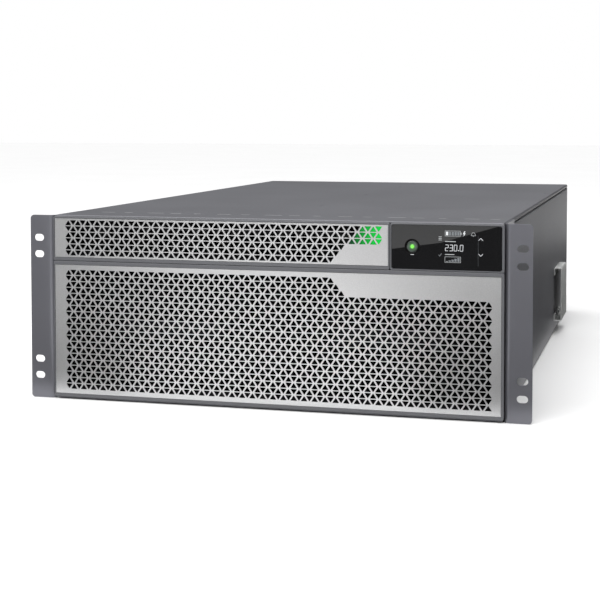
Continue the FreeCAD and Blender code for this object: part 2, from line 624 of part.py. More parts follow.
def fan_rotor(name, middle):
    """A cup with seven pitched blades and the shaft that turns in the frame's bearing."""
    front = "rear_face - gauge - fan_depth"
    cup = cut(rod("fan_hub", (middle, f"{front} + 3", "fan_height"), "19"),
              rod(11, (middle, f"{front} + 2", "fan_height"), "16"))
    shaft = rod(1.5, (middle, f"{front} + 2", "fan_height"), 18)
    hub = joined(cup, shaft)
    doc.recompute()
    root, tip, middle_y = size("fan_hub") - 1.2, size("fan_tip"), size(f"{front} + 12.5")
    chord, thickness, pitch, count = 18.0, 1.2, 38, 7
    blank = Part.makeBox(tip - root, chord, thickness, Vector(root, -chord / 2, -thickness / 2))
    blank.rotate(Vector(), Vector(1, 0, 0), pitch)
    disc = Part.makeCylinder(tip, 2 * chord, Vector(0, -chord, 0), Vector(0, 1, 0))
    centre = Vector(size(middle), middle_y, size("fan_height"))
    blades = []
    for index in range(count):
        blade = blank.copy()
        blade.rotate(Vector(), Vector(0, 1, 0), index * 360 / count)
        blades.append(blade.common(disc).translated(centre))
    rotor = doc.addObject("Part::Feature", "Rotor")
    rotor.Shape = hub.Shape.fuse(blades)
    node(name, rotor)


def outlets():
    for name, left, count in OUTLETS:
        right = f"{left} + {count} * socket_pitch"
        shell = block((f"{left} + 0.2", "rear_face - 22", "outlet_low + 0.2"),
                      (f"{right} - 0.2", "rear_face + 1", "outlet_high - 0.2"))
        rim = block((f"{left} - 1.5", "rear_face", "outlet_low - 1.5"),
                    (f"{right} + 1.5", "rear_face + 2", "outlet_high + 1.5"))
        recesses, cores = [], []
        for index in range(count):
            middle = f"{left} + ({index} + 0.5) * socket_pitch"
            height = "(outlet_low + outlet_high) / 2"
            mouth = block((f"{middle} - 12.4", "rear_face - 14", f"{height} - 8.4"),
                          (f"{middle} + 12.4", "rear_face + 3", f"{height} + 8.4"))
            core = block((f"{middle} - 8.4", "rear_face - 15", f"{height} - 4.6"),
                         (f"{middle} + 8.4", "rear_face + 0.5", f"{height} + 4.6"))
            slots = [block((f"{middle} + {across} - 1.1", "rear_face - 12", f"{height} + {up} - 2.2"),
                           (f"{middle} + {across} + 1.1", "rear_face + 3", f"{height} + {up} + 2.2"))
                     for across, up in ((-5, 0.8), (0, -0.8), (5, 0.8))]
            recesses.append(mouth)
            cores.append(cut(core, *slots))
        node(name, joined(cut(joined(shell, rim), *recesses), *cores))


def rear_fittings():
    left, right, low, high = TERMINALS
    box = block((left, "rear_face", low), (right, "rear_reach", high))
    hollow = block((f"{left} + gauge", "rear_face - 1", f"{low} + gauge"),
                   (f"{right} - gauge", "rear_reach - gauge", f"{high} - gauge"))
    tabs = [block((f"{across} - 6", "rear_face", high), (f"{across} + 6", "rear_face + gauge", f"{high} + 8"))
            for across, up in TERMINAL_SCREWS]
    holes = [rod(1.5, (across, "rear_face - 1", up), 5) for across, up in TERMINAL_SCREWS]
    node("terminal_cover", cut(joined(cut(box, hollow), *tabs), *holes))
    strip = block(("113", "rear_face - 18", "25"), ("195", "rear_face + 2", "63"))
    wells = [block((start, "rear_face - 8", "30"), (start + 12, "rear_face + 3", "58"))
             for start in range(115, 195, 16)]
    node("input_terminal_block", cut(strip, *wells))
    left, right, low, high = BREAKER
    body = block((f"{left} + 0.2", "rear_face - 60", f"{low} + 0.2"),
                 (f"{right} - 0.2", "rear_face + 3", f"{high} - 0.2"))
    slot = block((f"{left} + 5", "rear_face - 9", f"{low} + 12"),
                 (f"{right} - 5", "rear_face + 4", f"{high} - 12"))
    middle = f"({low} + {high}) / 2"
    pins = rod(1.5, (f"{left} + 4", "rear_face - 3", middle), f"{right} - {left} - 8", "x")
    node("input_breaker", joined(cut(body, slot), pins))
    hub = rod(4.4, (f"{left} + 5.4", "rear_face - 3", middle), f"{right} - {left} - 10.8", "x")
    tongue = block((f"{left} + 9", "rear_face - 3", f"{middle} - 2"),
                   (f"{right} - 9", "rear_face + 6.4", f"{middle} + 2"))
    eye = rod(1.55, (left, "rear_face - 3", middle), f"{right} - {left}", "x")
    node("breaker_lever", cut(joined(hub, tongue), eye))
    across, up = RESET_AT
    neck = rod(5, (across, "rear_face - 26", up), "27.5")
    nut = rod(8, (across, "rear_face", up), 2)
    bore = rod(3.6, (across, "rear_face - 6", up), 12)
    node("reset_breaker", cut(joined(neck, nut), bore))
    node("reset_button", rod(3.2, (across, "rear_face - 2.4", up), 6.6))
    across, up = GROUND_AT
    stud = rod(3, (across, "rear_face - 8", up), 14)
    nuts = [cut(rod(5.4, (across, seat, up), 3), rod(3, (across, f"{seat} - 1", up), 5))
            for seat in ("rear_face", "rear_face - gauge - 3")]
    node("ground_stud", group(stud, *nuts))
    left, right, low, high = BATTERY_SOCKET
    node("battery_socket", cut(
        block((f"{left} + 0.2", "rear_face - 20", f"{low} + 0.2"),
              (f"{right} - 0.2", "rear_face + 2", f"{high} - 0.2")),
        *[block((f"{left} + {shift} + 3", "rear_face - 12", f"{low} + 2"),
                (f"{left} + {shift} + 21", "rear_face + 3", f"{high} - 2")) for shift in (1, 25)]))
    screws = []
    for across, up in PANEL_SCREWS:
        screws.append(joined(rod(1.5, (across, "rear_face - gauge", up), "gauge"),
                             rod(3, (across, "rear_face", up), 1.6)))
    for across, up in TERMINAL_SCREWS:
        screws.append(joined(rod(1.5, (across, "rear_face", up), "gauge"),
                             rod(3, (across, "rear_face + gauge", up), 1.6)))
    return screws


def network_card():
    left, right, low, high = CARD
    plate = block((f"{left} + 0.5", "rear_face - gauge + 0.3", f"{low} + 0.5"),
                  (f"{right} - 0.5", "rear_face + 0.3", f"{high} - 0.5"))
    ear = block((f"{left} - 2", "rear_face + 0.3", f"{low} - 2"),
                (f"{right} + 2", "rear_face + 2", f"{high} + 2"))
    jack = block((f"{left} + 14", "rear_face - 18", f"{low} + 3"),
                 (f"{left} + 31", "rear_face + 2.6", f"{low} + 17"))
    mouth = block((f"{left} + 16.5", "rear_face - 12", f"{low} + 5"),
                  (f"{left} + 28.5", "rear_face + 4", f"{low} + 12"))
    board = block((f"{left} + 4", "rear_face - 130", f"{low} + 4"),
                  (f"{right} - 4", "rear_face - gauge + 0.3", f"{low} + 5.6"))
    node("network_card", cut(joined(plate, ear, jack, board), mouth))
    knobs = [rod(3.4, (f"{across}", "rear_face + 2", f"{low} + 20"), 4) for across in (113, 191)]
    node("card_thumbscrews", group(*knobs))
    start, end = "rear_face - 134", "rear_face - gauge - 8"
    rails = [block((across, start, f"{low} + 1.5"), (f"{across} + 2.2", end, f"{low} + 8"))
             for across in (109.3, 192.5)]
    cage_floor = block((109.3, start, f"{low} - 1"), (194.7, end, f"{low} + 1.5"))
    node("card_cage", joined(cage_floor, *rails))


def comm_ports():
    left, right, low, high = PORTS
    plate = block((f"{left} + 0.2", "rear_face - 14", f"{low} + 0.2"),
                  (f"{right} - 0.2", "rear_face + 0.6", f"{high} - 0.2"))
    wells = [block((f"{left} + {start}", "rear_face - 9", f"{low} + {base}"),
                   (f"{left} + {start} + {wide}", "rear_face + 2", f"{low} + {base} + {tall}"))
             for start, wide, base, tall in ((5, 9, 6, 8.5), (20, 19, 6, 10), (45, 20, 6, 8))]
    node("comm_ports", cut(plate, *wells))


chassis_tray()
rear_panel()
top_cover()
cover_fixings()
inner_walls()
rack_ear("left_rack_ear", -1)
rack_ear("right_rack_ear", 1)
side_bracket("left_side_bracket", -1)
side_bracket("right_side_bracket", 1)
node("side_fixings", group(*ear_screws(), *bracket_rivets()))
bezels()
display_module()
power_button()
battery_module("left", -1)
battery_module("right", 1)
bay_connectors()
electronics()
fan_screws = fans()
for rotor_name, rotor_middle in zip(("left_fan_rotor", "middle_fan_rotor", "right_fan_rotor"), FANS):
    fan_rotor(rotor_name, rotor_middle)
outlets()
node("rear_screws", group(*fan_screws, *rear_fittings()))
network_card()
comm_ports()
doc.recompute()

for thing in doc.Objects:
    if "Invalid" in thing.State or "Error" in thing.State:
        raise RuntimeError(f"{thing.Name} ({thing.Label}) did not compute: {thing.State}")
for thing in NODES:
    if thing.Shape.isNull() or not thing.Shape.isValid():
        raise RuntimeError(f"{thing.Label} has no valid shape")

os.makedirs("parts", exist_ok=True)
for thing in NODES:
    thing.Shape.exportStep(f"parts/{thing.Label}.step")
    box = thing.Shape.BoundBox
    corners = [[round(value, 1) for value in corner] for corner in (box.getPoint(0), box.getPoint(6))]
    print(f"{thing.Label}: {len(thing.Shape.Solids)} solids, {thing.Shape.Volume / 1000:.1f} cm3, {corners}")
print(len(NODES), "nodes")
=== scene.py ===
# %% [markdown]
# # A rack-mounted uninterruptible power supply
# The machine is a long sheet-metal box between two rack ears, with two perforated silver bezels and a
# glossy display on its front. The design's solids are loaded as a fixed frame. This lesson gives them
# their finishes, and makes again, in finer shape, the pieces that the eye rests on.

# %% Load the fixed frame
import math

import bpy
import bmesh
import numpy as np
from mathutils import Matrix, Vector
from mathutils.geometry import delaunay_2d_cdt


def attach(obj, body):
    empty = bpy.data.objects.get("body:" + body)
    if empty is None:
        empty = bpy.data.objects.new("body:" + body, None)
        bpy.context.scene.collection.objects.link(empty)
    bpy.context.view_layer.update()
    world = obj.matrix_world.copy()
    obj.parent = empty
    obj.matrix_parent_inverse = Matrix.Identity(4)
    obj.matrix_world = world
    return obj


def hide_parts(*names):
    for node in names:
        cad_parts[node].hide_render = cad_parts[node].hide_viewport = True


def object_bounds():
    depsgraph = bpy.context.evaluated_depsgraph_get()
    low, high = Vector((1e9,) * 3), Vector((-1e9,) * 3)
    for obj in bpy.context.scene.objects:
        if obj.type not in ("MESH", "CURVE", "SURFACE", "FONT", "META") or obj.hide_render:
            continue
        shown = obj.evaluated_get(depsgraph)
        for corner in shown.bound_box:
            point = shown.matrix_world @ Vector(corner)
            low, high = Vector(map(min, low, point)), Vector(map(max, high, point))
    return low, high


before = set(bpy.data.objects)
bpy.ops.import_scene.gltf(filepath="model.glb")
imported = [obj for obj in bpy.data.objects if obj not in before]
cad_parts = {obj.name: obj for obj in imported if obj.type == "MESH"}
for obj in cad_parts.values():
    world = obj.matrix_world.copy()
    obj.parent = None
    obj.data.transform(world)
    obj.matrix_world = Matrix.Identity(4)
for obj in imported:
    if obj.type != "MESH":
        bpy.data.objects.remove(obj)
cad_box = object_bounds()
mm = 0.001
bpy.context.scene.view_settings.view_transform = "Standard"
corner_values = [round(value, 4) for corner in cad_box for value in corner]
print("frame nodes:", len(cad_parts), "box:", corner_values)

# %% [markdown]
# ## Surfaces from loops
# Most machine parts are a closed outline carried along a path: a folded sheet, a moulded rim, a turned
# knob. Modifiers on a cube could fake some of them. A loft of computed loops gives every radius exactly,
# so one helper skins a stack of loops and the rest of the lesson only computes outlines.

# %% Loft a stack of closed loops
def loft(loops, ends="cap"):
    """Skins a stack of closed loops.

    Face (i, k) spans loops i and i + 1 between points k and k + 1, where k wraps round. ends is "cap" for
    a flat lid on the first and last loop, or "join" to carry the last loop back to the first.
    """
    loops = np.asarray(loops, dtype=float)
    count, around = loops.shape[:2]
    index = np.arange(count * around).reshape(count, around)
    rows = np.vstack([index, index[:1]]) if ends == "join" else index
    near, far = rows[:-1], rows[1:]
    quads = np.stack([near, np.roll(near, -1, 1), np.roll(far, -1, 1), far], axis=-1)
    faces = quads.reshape(-1, 4).tolist()
    if ends == "cap":
        faces += [index[0][::-1].tolist(), index[-1].tolist()]
    return loops.reshape(-1, 3), faces


# %% [markdown]
# ## Outlines
# Flat parts start as closed outlines with rounded corners, since no real edge is perfectly sharp. Each
# helper works out one kind of outline from a few sizes, and three more stand it across, along or level in
# the machine.

# %% Outlines
def rounded_rectangle(left, right, low, high, radius, steps=5):
    """Four quarter arcs: each point is a corner's centre plus radius times (cosine, sine) of its angle."""
    quarter = np.linspace(0, math.pi / 2, steps + 1)
    centres = ((right - radius, high - radius), (left + radius, high - radius),
               (left + radius, low + radius), (right - radius, low + radius))
    arcs = [np.stack([across + radius * np.cos(quarter + turn * math.pi / 2),
                      up + radius * np.sin(quarter + turn * math.pi / 2)], axis=-1)
            for turn, (across, up) in enumerate(centres)]
    return np.concatenate(arcs)


def rounded_outline(corners, radii, steps=4):
    """Turns each corner of a polygon into the arc that touches both of its sides.

    The arc's centre lies on the corner's bisector, radius / sin(half angle) from the corner.
    """
    corners = np.asarray(corners, dtype=float)
    pieces = []
    for index, radius in enumerate(radii):
        corner = corners[index]
        back = corners[index - 1] - corner
        ahead = corners[(index + 1) % len(corners)] - corner
        back, ahead = back / np.linalg.norm(back), ahead / np.linalg.norm(ahead)
        half = math.acos(float(np.clip(back @ ahead, -1, 1))) / 2
        if radius == 0:
            pieces.append(corner[None])
            continue
        middle = (back + ahead) / np.linalg.norm(back + ahead)
        centre = corner + middle * radius / math.sin(half)
        first = corner + back * radius / math.tan(half) - centre
        last = corner + ahead * radius / math.tan(half) - centre
        start = math.atan2(first[1], first[0])
        sweep = (math.atan2(last[1], last[0]) - start + math.pi) % (2 * math.pi) - math.pi
        angles = start + np.linspace(0, 1, steps + 1) * sweep
        pieces.append(centre + radius * np.stack([np.cos(angles), np.sin(angles)], axis=-1))
    return np.concatenate(pieces)


def circle(centre, radius, count=48):
    """Point k stands at angle 2 pi k / count."""
    angles = np.arange(count) * 2 * math.pi / count
    return np.asarray(centre) + radius * np.stack([np.cos(angles), np.sin(angles)], axis=-1)


def at_depth(outline, depth):
    """An outline of (x, z) points, standing upright at one depth y."""
    return np.stack([outline[:, 0], np.full(len(outline), depth), outline[:, 1]], axis=-1)


def at_height(outline, height):
    """An outline of (x, y) points, lying level at one height z."""
    return np.stack([outline[:, 0], outline[:, 1], np.full(len(outline), height)], axis=-1)


def at_side(outline, across):
    """An outline of (y, z) points, standing at one x."""
    return np.stack([np.full(len(outline), across), outline[:, 0], outline[:, 1]], axis=-1)


# %% [markdown]
# ## From arrays to a finished piece
# A mesh needs its faces to point outwards and its round stretches shaded smooth, with sharp edges kept.
# One helper does that for every piece, names the body that it rides on and the solid that it stands for.
# A fine bevel, where asked for, breaks the sharp edges as a press brake or a mould does.

# %% Make a piece
def piece(name, shells, material, body, stands_for=(), smooth=32, edge=None):
    """Makes one object from shells of points, in millimetres, and faces."""
    vertices, faces, start = [], [], 0
    for points, skin in shells:
        vertices.append(np.asarray(points, dtype=float))
        faces += [[start + corner for corner in face] for face in skin]
        start += len(points)
    mesh = bpy.data.meshes.new(name)
    mesh.from_pydata((np.concatenate(vertices) * mm).tolist(), [], faces)
    work = bmesh.new()
    work.from_mesh(mesh)
    bmesh.ops.remove_doubles(work, verts=work.verts, dist=1e-6)
    bmesh.ops.recalc_face_normals(work, faces=work.faces)
    work.to_mesh(mesh)
    work.free()
    mesh.polygons.foreach_set("use_smooth", np.ones(len(mesh.polygons), dtype=bool))
    mesh.set_sharp_from_angle(angle=math.radians(smooth))
    made = bpy.data.objects.new(name, mesh)
    bpy.context.scene.collection.objects.link(made)
    mesh.materials.append(material)
    if edge:
        bevel = made.modifiers.new("broken edges", "BEVEL")
        bevel.width = edge * mm
        bevel.segments = 2
        bevel.limit_method = "ANGLE"
        bevel.angle_limit = math.radians(50)
    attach(made, body)
    if stands_for:
        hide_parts(*stands_for)
    print(f"{name}: {len(mesh.vertices)} points, {len(mesh.polygons)} faces")
    return made


def finish_node(name, material):
    """Gives a node of the frame a material in every slot."""
    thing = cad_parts[name]
    if not thing.data.materials:
        thing.data.materials.append(material)
    for index in range(len(thing.data.materials)):
        thing.data.materials[index] = material


# %% [markdown]
# # Finishes
# Each finish is a small network of nodes that reads Object coordinates, in metres, so its grain keeps its
# real size on every piece. Powder coat is a skin of melted powder: satin, very slightly pebbled, with a
# soft unevenness of tone over a hand's width.

# %% Powder-coated sheet steel
def powder_coat(name, colour, roughness=0.42, pebble=900.0, variation=0.08, depth=0.10, metal=0.3, gleam=0.5):
    material = bpy.data.materials.new(name)
    material.use_nodes = True
    nodes, links = material.node_tree.nodes, material.node_tree.links
    nodes.clear()
    coat = nodes.new("NodeFrame")
    coat.label = "tone of the coat"
    skin = nodes.new("NodeFrame")
    skin.label = "pebbled skin"
    place = nodes.new("ShaderNodeTexCoord")
    place.label = "place on the sheet"
    cloud = nodes.new("ShaderNodeTexNoise")
    cloud.label = "broad unevenness of the powder"
    tone = nodes.new("ShaderNodeValToRGB")
    tone.label = "darker and lighter powder"
    speck = nodes.new("ShaderNodeTexNoise")
    speck.label = "specks of powder"
    shine = nodes.new("ShaderNodeMapRange")
    shine.label = "specks change the shine"
    pebbles = nodes.new("ShaderNodeTexNoise")
    pebbles.label = "orange peel"
    bump = nodes.new("ShaderNodeBump")
    bump.label = "height of the peel"
    shader = nodes.new("ShaderNodeBsdfPrincipled")
    shader.label = "baked powder"
    output = nodes.new("ShaderNodeOutputMaterial")
    output.label = "surface"
    cloud.parent = tone.parent = coat
    speck.parent = shine.parent = pebbles.parent = bump.parent = skin
    cloud.inputs["Scale"].default_value = 9.0
    cloud.inputs["Detail"].default_value = 4.0
    low, high = [[value * (1 + sign * variation) for value in colour] for sign in (-1, 1)]
    tone.color_ramp.elements[0].position = 0.3
    tone.color_ramp.elements[0].color = (*low, 1)
    tone.color_ramp.elements[1].position = 0.7
    tone.color_ramp.elements[1].color = (*high, 1)
    speck.inputs["Scale"].default_value = pebble * 0.35
    speck.inputs["Detail"].default_value = 2.0
    shine.inputs["To Min"].default_value = roughness - 0.05
    shine.inputs["To Max"].default_value = roughness + 0.05
    pebbles.inputs["Scale"].default_value = pebble
    pebbles.inputs["Detail"].default_value = 2.0
    bump.inputs["Strength"].default_value = depth
    bump.inputs["Distance"].default_value = 0.0003
    shader.inputs["Metallic"].default_value = metal
    shader.inputs["Specular IOR Level"].default_value = gleam
    links.new(place.outputs["Object"], cloud.inputs["Vector"])
    links.new(place.outputs["Object"], speck.inputs["Vector"])
    links.new(place.outputs["Object"], pebbles.inputs["Vector"])
    links.new(cloud.outputs["Fac"], tone.inputs["Fac"])
    links.new(tone.outputs["Color"], shader.inputs["Base Color"])
    links.new(speck.outputs["Fac"], shine.inputs["Value"])
    links.new(shine.outputs["Result"], shader.inputs["Roughness"])
    links.new(pebbles.outputs["Fac"], bump.inputs["Height"])
    links.new(bump.outputs["Normal"], shader.inputs["Normal"])
    links.new(shader.outputs["BSDF"], output.inputs["Surface"])
    for column, node in enumerate((place, cloud, tone, speck, shine, pebbles, bump, shader, output)):
        node.location = (column * 200, -120 * (column % 3))
    return material


# %% [markdown]
# ## Silver paint
# The perforated plates are painted a satin metallic silver. Its tiny flakes glitter a little differently
# from each other, so a cell pattern gives each flake its own tone and tilt under an uneven lacquer.

# %% Metallic silver paint
def silver_paint(name, colour, roughness=0.34):
    material = bpy.data.materials.new(name)
    material.use_nodes = True
    nodes, links = material.node_tree.nodes, material.node_tree.links
    nodes.clear()
    flakes = nodes.new("NodeFrame")
    flakes.label = "metal flakes"
    haze = nodes.new("NodeFrame")
    haze.label = "haze of the lacquer"
    place = nodes.new("ShaderNodeTexCoord")
    place.label = "place on the plate"
    cells = nodes.new("ShaderNodeTexVoronoi")
    cells.label = "one cell for each flake"
    tint = nodes.new("ShaderNodeValToRGB")
    tint.label = "flakes catch the light differently"
    cloud = nodes.new("ShaderNodeTexNoise")
    cloud.label = "uneven lacquer"
    shine = nodes.new("ShaderNodeMapRange")
    shine.label = "lacquer roughness"
    bump = nodes.new("ShaderNodeBump")
    bump.label = "tilt of the flakes"
    shader = nodes.new("ShaderNodeBsdfPrincipled")
    shader.label = "silver paint"
    output = nodes.new("ShaderNodeOutputMaterial")
    output.label = "surface"
    cells.parent = tint.parent = bump.parent = flakes
    cloud.parent = shine.parent = haze
    cells.inputs["Scale"].default_value = 2600.0
    tint.color_ramp.elements[0].color = (*[value * 0.90 for value in colour], 1)
    tint.color_ramp.elements[1].color = (*[value * 1.08 for value in colour], 1)
    cloud.inputs["Scale"].default_value = 25.0
    cloud.inputs["Detail"].default_value = 5.0
    shine.inputs["To Min"].default_value = roughness - 0.04
    shine.inputs["To Max"].default_value = roughness + 0.06
    bump.inputs["Strength"].default_value = 0.04
    bump.inputs["Distance"].default_value = 0.0002
    shader.inputs["Metallic"].default_value = 0.82
    links.new(place.outputs["Object"], cells.inputs["Vector"])
    links.new(place.outputs["Object"], cloud.inputs["Vector"])
    links.new(cells.outputs["Color"], tint.inputs["Fac"])
    links.new(tint.outputs["Color"], shader.inputs["Base Color"])
    links.new(cells.outputs["Distance"], bump.inputs["Height"])
    links.new(cloud.outputs["Fac"], shine.inputs["Value"])
    links.new(shine.outputs["Result"], shader.inputs["Roughness"])
    links.new(bump.outputs["Normal"], shader.inputs["Normal"])
    links.new(shader.outputs["BSDF"], output.inputs["Surface"])
    for column, node in enumerate((place, cells, tint, cloud, shine, bump, shader, output)):
        node.location = (column * 200, -120 * (column % 3))
    return material


# %% [markdown]
# ## Moulded plastic
# Bezels, sockets and fans are injection moulded. The tool's spark-eroded face leaves a fine grain, which
# one noise makes as height and as a small change of shine.

# %% Moulded plastic
def moulded_plastic(name, colour, roughness=0.5, grain=1500.0, depth=0.12, variation=0.06, gleam=0.5):
    material = bpy.data.materials.new(name)
    material.use_nodes = True
    nodes, links = material.node_tree.nodes, material.node_tree.links
    nodes.clear()
    pigment = nodes.new("NodeFrame")
    pigment.label = "pigment"
    tool = nodes.new("NodeFrame")
    tool.label = "grain of the mould"
    place = nodes.new("ShaderNodeTexCoord")
    place.label = "place on the moulding"
    flow = nodes.new("ShaderNodeTexNoise")
    flow.label = "flow of the pigment"
    tone = nodes.new("ShaderNodeValToRGB")
    tone.label = "pigment tones"
    sparks = nodes.new("ShaderNodeTexNoise")
    sparks.label = "spark-eroded grain"
    shine = nodes.new("ShaderNodeMapRange")
    shine.label = "grain breaks the shine"
    bump = nodes.new("ShaderNodeBump")
    bump.label = "height of the grain"
    shader = nodes.new("ShaderNodeBsdfPrincipled")
    shader.label = "plastic"
    output = nodes.new("ShaderNodeOutputMaterial")
    output.label = "surface"
    flow.parent = tone.parent = pigment
    sparks.parent = shine.parent = bump.parent = tool
    flow.inputs["Scale"].default_value = 30.0
    flow.inputs["Detail"].default_value = 3.0
    tone.color_ramp.elements[0].color = (*[value * (1 - variation) for value in colour], 1)
    tone.color_ramp.elements[1].color = (*[value * (1 + variation) for value in colour], 1)
    sparks.inputs["Scale"].default_value = grain
    sparks.inputs["Detail"].default_value = 3.0
    shine.inputs["To Min"].default_value = roughness - 0.06
    shine.inputs["To Max"].default_value = roughness + 0.06
    bump.inputs["Strength"].default_value = depth
    bump.inputs["Distance"].default_value = 0.0002
    shader.inputs["Specular IOR Level"].default_value = gleam
    links.new(place.outputs["Object"], flow.inputs["Vector"])
    links.new(place.outputs["Object"], sparks.inputs["Vector"])
    links.new(flow.outputs["Fac"], tone.inputs["Fac"])
    links.new(tone.outputs["Color"], shader.inputs["Base Color"])
    links.new(sparks.outputs["Fac"], shine.inputs["Value"])
    links.new(shine.outputs["Result"], shader.inputs["Roughness"])
    links.new(sparks.outputs["Fac"], bump.inputs["Height"])
    links.new(bump.outputs["Normal"], shader.inputs["Normal"])
    links.new(shader.outputs["BSDF"], output.inputs["Surface"])
    for column, node in enumerate((place, flow, tone, sparks, shine, bump, shader, output)):
        node.location = (column * 200, -120 * (column % 3))
    return material


# %% [markdown]
# ## Zinc-plated steel
# Screws, brackets and wire carry bright zinc or nickel. A cell pattern gives the crystals and a stretched
# noise gives the rolling lines, because an even grey would look like paint.

# %% Zinc-plated steel
def zinc_plate(name, colour, roughness=0.3, patch=160.0, metal=1.0):
    material = bpy.data.materials.new(name)
    material.use_nodes = True
    nodes, links = material.node_tree.nodes, material.node_tree.links
    nodes.clear()
    crystals = nodes.new("NodeFrame")
    crystals.label = "crystals of zinc"
    rolling = nodes.new("NodeFrame")
    rolling.label = "rolling lines"
    place = nodes.new("ShaderNodeTexCoord")
    place.label = "place on the steel"
    patches = nodes.new("ShaderNodeTexVoronoi")
    patches.label = "patches of crystal"
    tone = nodes.new("ShaderNodeValToRGB")
    tone.label = "patch brightness"
    shine = nodes.new("ShaderNodeMapRange")
    shine.label = "patch roughness"
    stretch = nodes.new("ShaderNodeMapping")
    stretch.label = "lines run along the sheet"
    lines = nodes.new("ShaderNodeTexNoise")
    lines.label = "rolling lines"
    bump = nodes.new("ShaderNodeBump")
    bump.label = "depth of the lines"
    shader = nodes.new("ShaderNodeBsdfPrincipled")
    shader.label = "zinc"
    output = nodes.new("ShaderNodeOutputMaterial")
    output.label = "surface"
    patches.parent = tone.parent = shine.parent = crystals
    stretch.parent = lines.parent = bump.parent = rolling
    patches.inputs["Scale"].default_value = patch
    tone.color_ramp.elements[0].color = (*[value * 0.86 for value in colour], 1)
    tone.color_ramp.elements[1].color = (*[min(1.0, value * 1.1) for value in colour], 1)
    shine.inputs["To Min"].default_value = roughness - 0.06
    shine.inputs["To Max"].default_value = roughness + 0.1
    stretch.inputs["Scale"].default_value = (600.0, 12.0, 600.0)
    lines.inputs["Scale"].default_value = 1.0
    lines.inputs["Detail"].default_value = 3.0
    bump.inputs["Strength"].default_value = 0.08
    bump.inputs["Distance"].default_value = 0.0002
    shader.inputs["Metallic"].default_value = metal
    links.new(place.outputs["Object"], patches.inputs["Vector"])
    links.new(place.outputs["Object"], stretch.inputs["Vector"])
    links.new(patches.outputs["Color"], tone.inputs["Fac"])
    links.new(tone.outputs["Color"], shader.inputs["Base Color"])
    links.new(patches.outputs["Color"], shine.inputs["Value"])
    links.new(shine.outputs["Result"], shader.inputs["Roughness"])
    links.new(stretch.outputs["Vector"], lines.inputs["Vector"])
    links.new(lines.outputs["Fac"], bump.inputs["Height"])
    links.new(bump.outputs["Normal"], shader.inputs["Normal"])
    links.new(shader.outputs["BSDF"], output.inputs["Surface"])
    for column, node in enumerate((place, patches, tone, shine, stretch, lines, bump, shader, output)):
        node.location = (column * 200, -120 * (column % 3))
    return material


# %% [markdown]
# ## Black glass
# The display is a sheet of glass over printed black: almost no colour of its own, and a sharp reflection.
# A faint noise dulls the shine here and there, as fingerprints do. Real transparency would cost time and
# show nothing, because the print behind the glass is opaque.

# %% Black glass
def black_glass(name, colour, roughness=0.04):
    material = bpy.data.materials.new(name)
    material.use_nodes = True
    nodes, links = material.node_tree.nodes, material.node_tree.links
    nodes.clear()
    film = nodes.new("NodeFrame")
    film.label = "film of fingerprints"
    place = nodes.new("ShaderNodeTexCoord")
    place.label = "place on the glass"
    smear = nodes.new("ShaderNodeTexNoise")
    smear.label = "faint smears"
    shine = nodes.new("ShaderNodeMapRange")
    shine.label = "smears dull the glass"
    ink = nodes.new("ShaderNodeValToRGB")
    ink.label = "printed black behind the glass"
    shader = nodes.new("ShaderNodeBsdfPrincipled")
    shader.label = "glass over black"
    output = nodes.new("ShaderNodeOutputMaterial")
    output.label = "surface"
    smear.parent = shine.parent = film
    smear.inputs["Scale"].default_value = 40.0
    smear.inputs["Detail"].default_value = 6.0
    shine.inputs["From Min"].default_value = 0.45
    shine.inputs["From Max"].default_value = 0.8
    shine.inputs["To Min"].default_value = roughness
    shine.inputs["To Max"].default_value = roughness + 0.01
    ink.color_ramp.elements[0].color = (*colour, 1)
    ink.color_ramp.elements[1].color = (*[value * 1.5 for value in colour], 1)
    shader.inputs["IOR"].default_value = 1.5
    links.new(place.outputs["Object"], smear.inputs["Vector"])
    links.new(smear.outputs["Fac"], shine.inputs["Value"])
    links.new(smear.outputs["Fac"], ink.inputs["Fac"])
    links.new(ink.outputs["Color"], shader.inputs["Base Color"])
    links.new(shine.outputs["Result"], shader.inputs["Roughness"])
    links.new(shader.outputs["BSDF"], output.inputs["Surface"])
    for column, node in enumerate((place, smear, shine, ink, shader, output)):
        node.location = (column * 200, -120 * (column % 3))
    return material


# %% [markdown]
# ## Lit segments
# The display's marks give light of their own, so they emit instead of waiting for a lamp. The backlight's
# brightness wavers slightly from place to place, which keeps them from looking printed.

# %% Lit segments
def lit_segment(name, colour, strength):
    material = bpy.data.materials.new(name)
    material.use_nodes = True
    nodes, links = material.node_tree.nodes, material.node_tree.links
    nodes.clear()
    glow = nodes.new("NodeFrame")
    glow.label = "glow"
    place = nodes.new("ShaderNodeTexCoord")
    place.label = "place on the display"
    waver = nodes.new("ShaderNodeTexNoise")
    waver.label = "uneven backlight"
    level = nodes.new("ShaderNodeMapRange")
    level.label = "backlight level"
    shader = nodes.new("ShaderNodeBsdfPrincipled")
    shader.label = "lit segment"
    output = nodes.new("ShaderNodeOutputMaterial")
    output.label = "surface"
    waver.parent = level.parent = glow
    waver.inputs["Scale"].default_value = 300.0
    level.inputs["To Min"].default_value = strength * 0.85
    level.inputs["To Max"].default_value = strength * 1.15
    shader.inputs["Base Color"].default_value = (*[value * 0.2 for value in colour], 1)
    shader.inputs["Roughness"].default_value = 0.3
    shader.inputs["Emission Color"].default_value = (*colour, 1)
    links.new(place.outputs["Object"], waver.inputs["Vector"])
    links.new(waver.outputs["Fac"], level.inputs["Value"])
    links.new(level.outputs["Result"], shader.inputs["Emission Strength"])
    links.new(shader.outputs["BSDF"], output.inputs["Surface"])
    for column, node in enumerate((place, waver, level, shader, output)):
        node.location = (column * 200, -120 * (column % 3))
    return material


# %% [markdown]
# ## Green inserts
# The plugs behind the last holes go from dark to bright green. A ramp along the machine's width paints
# them all with one material instead of one for each plug.

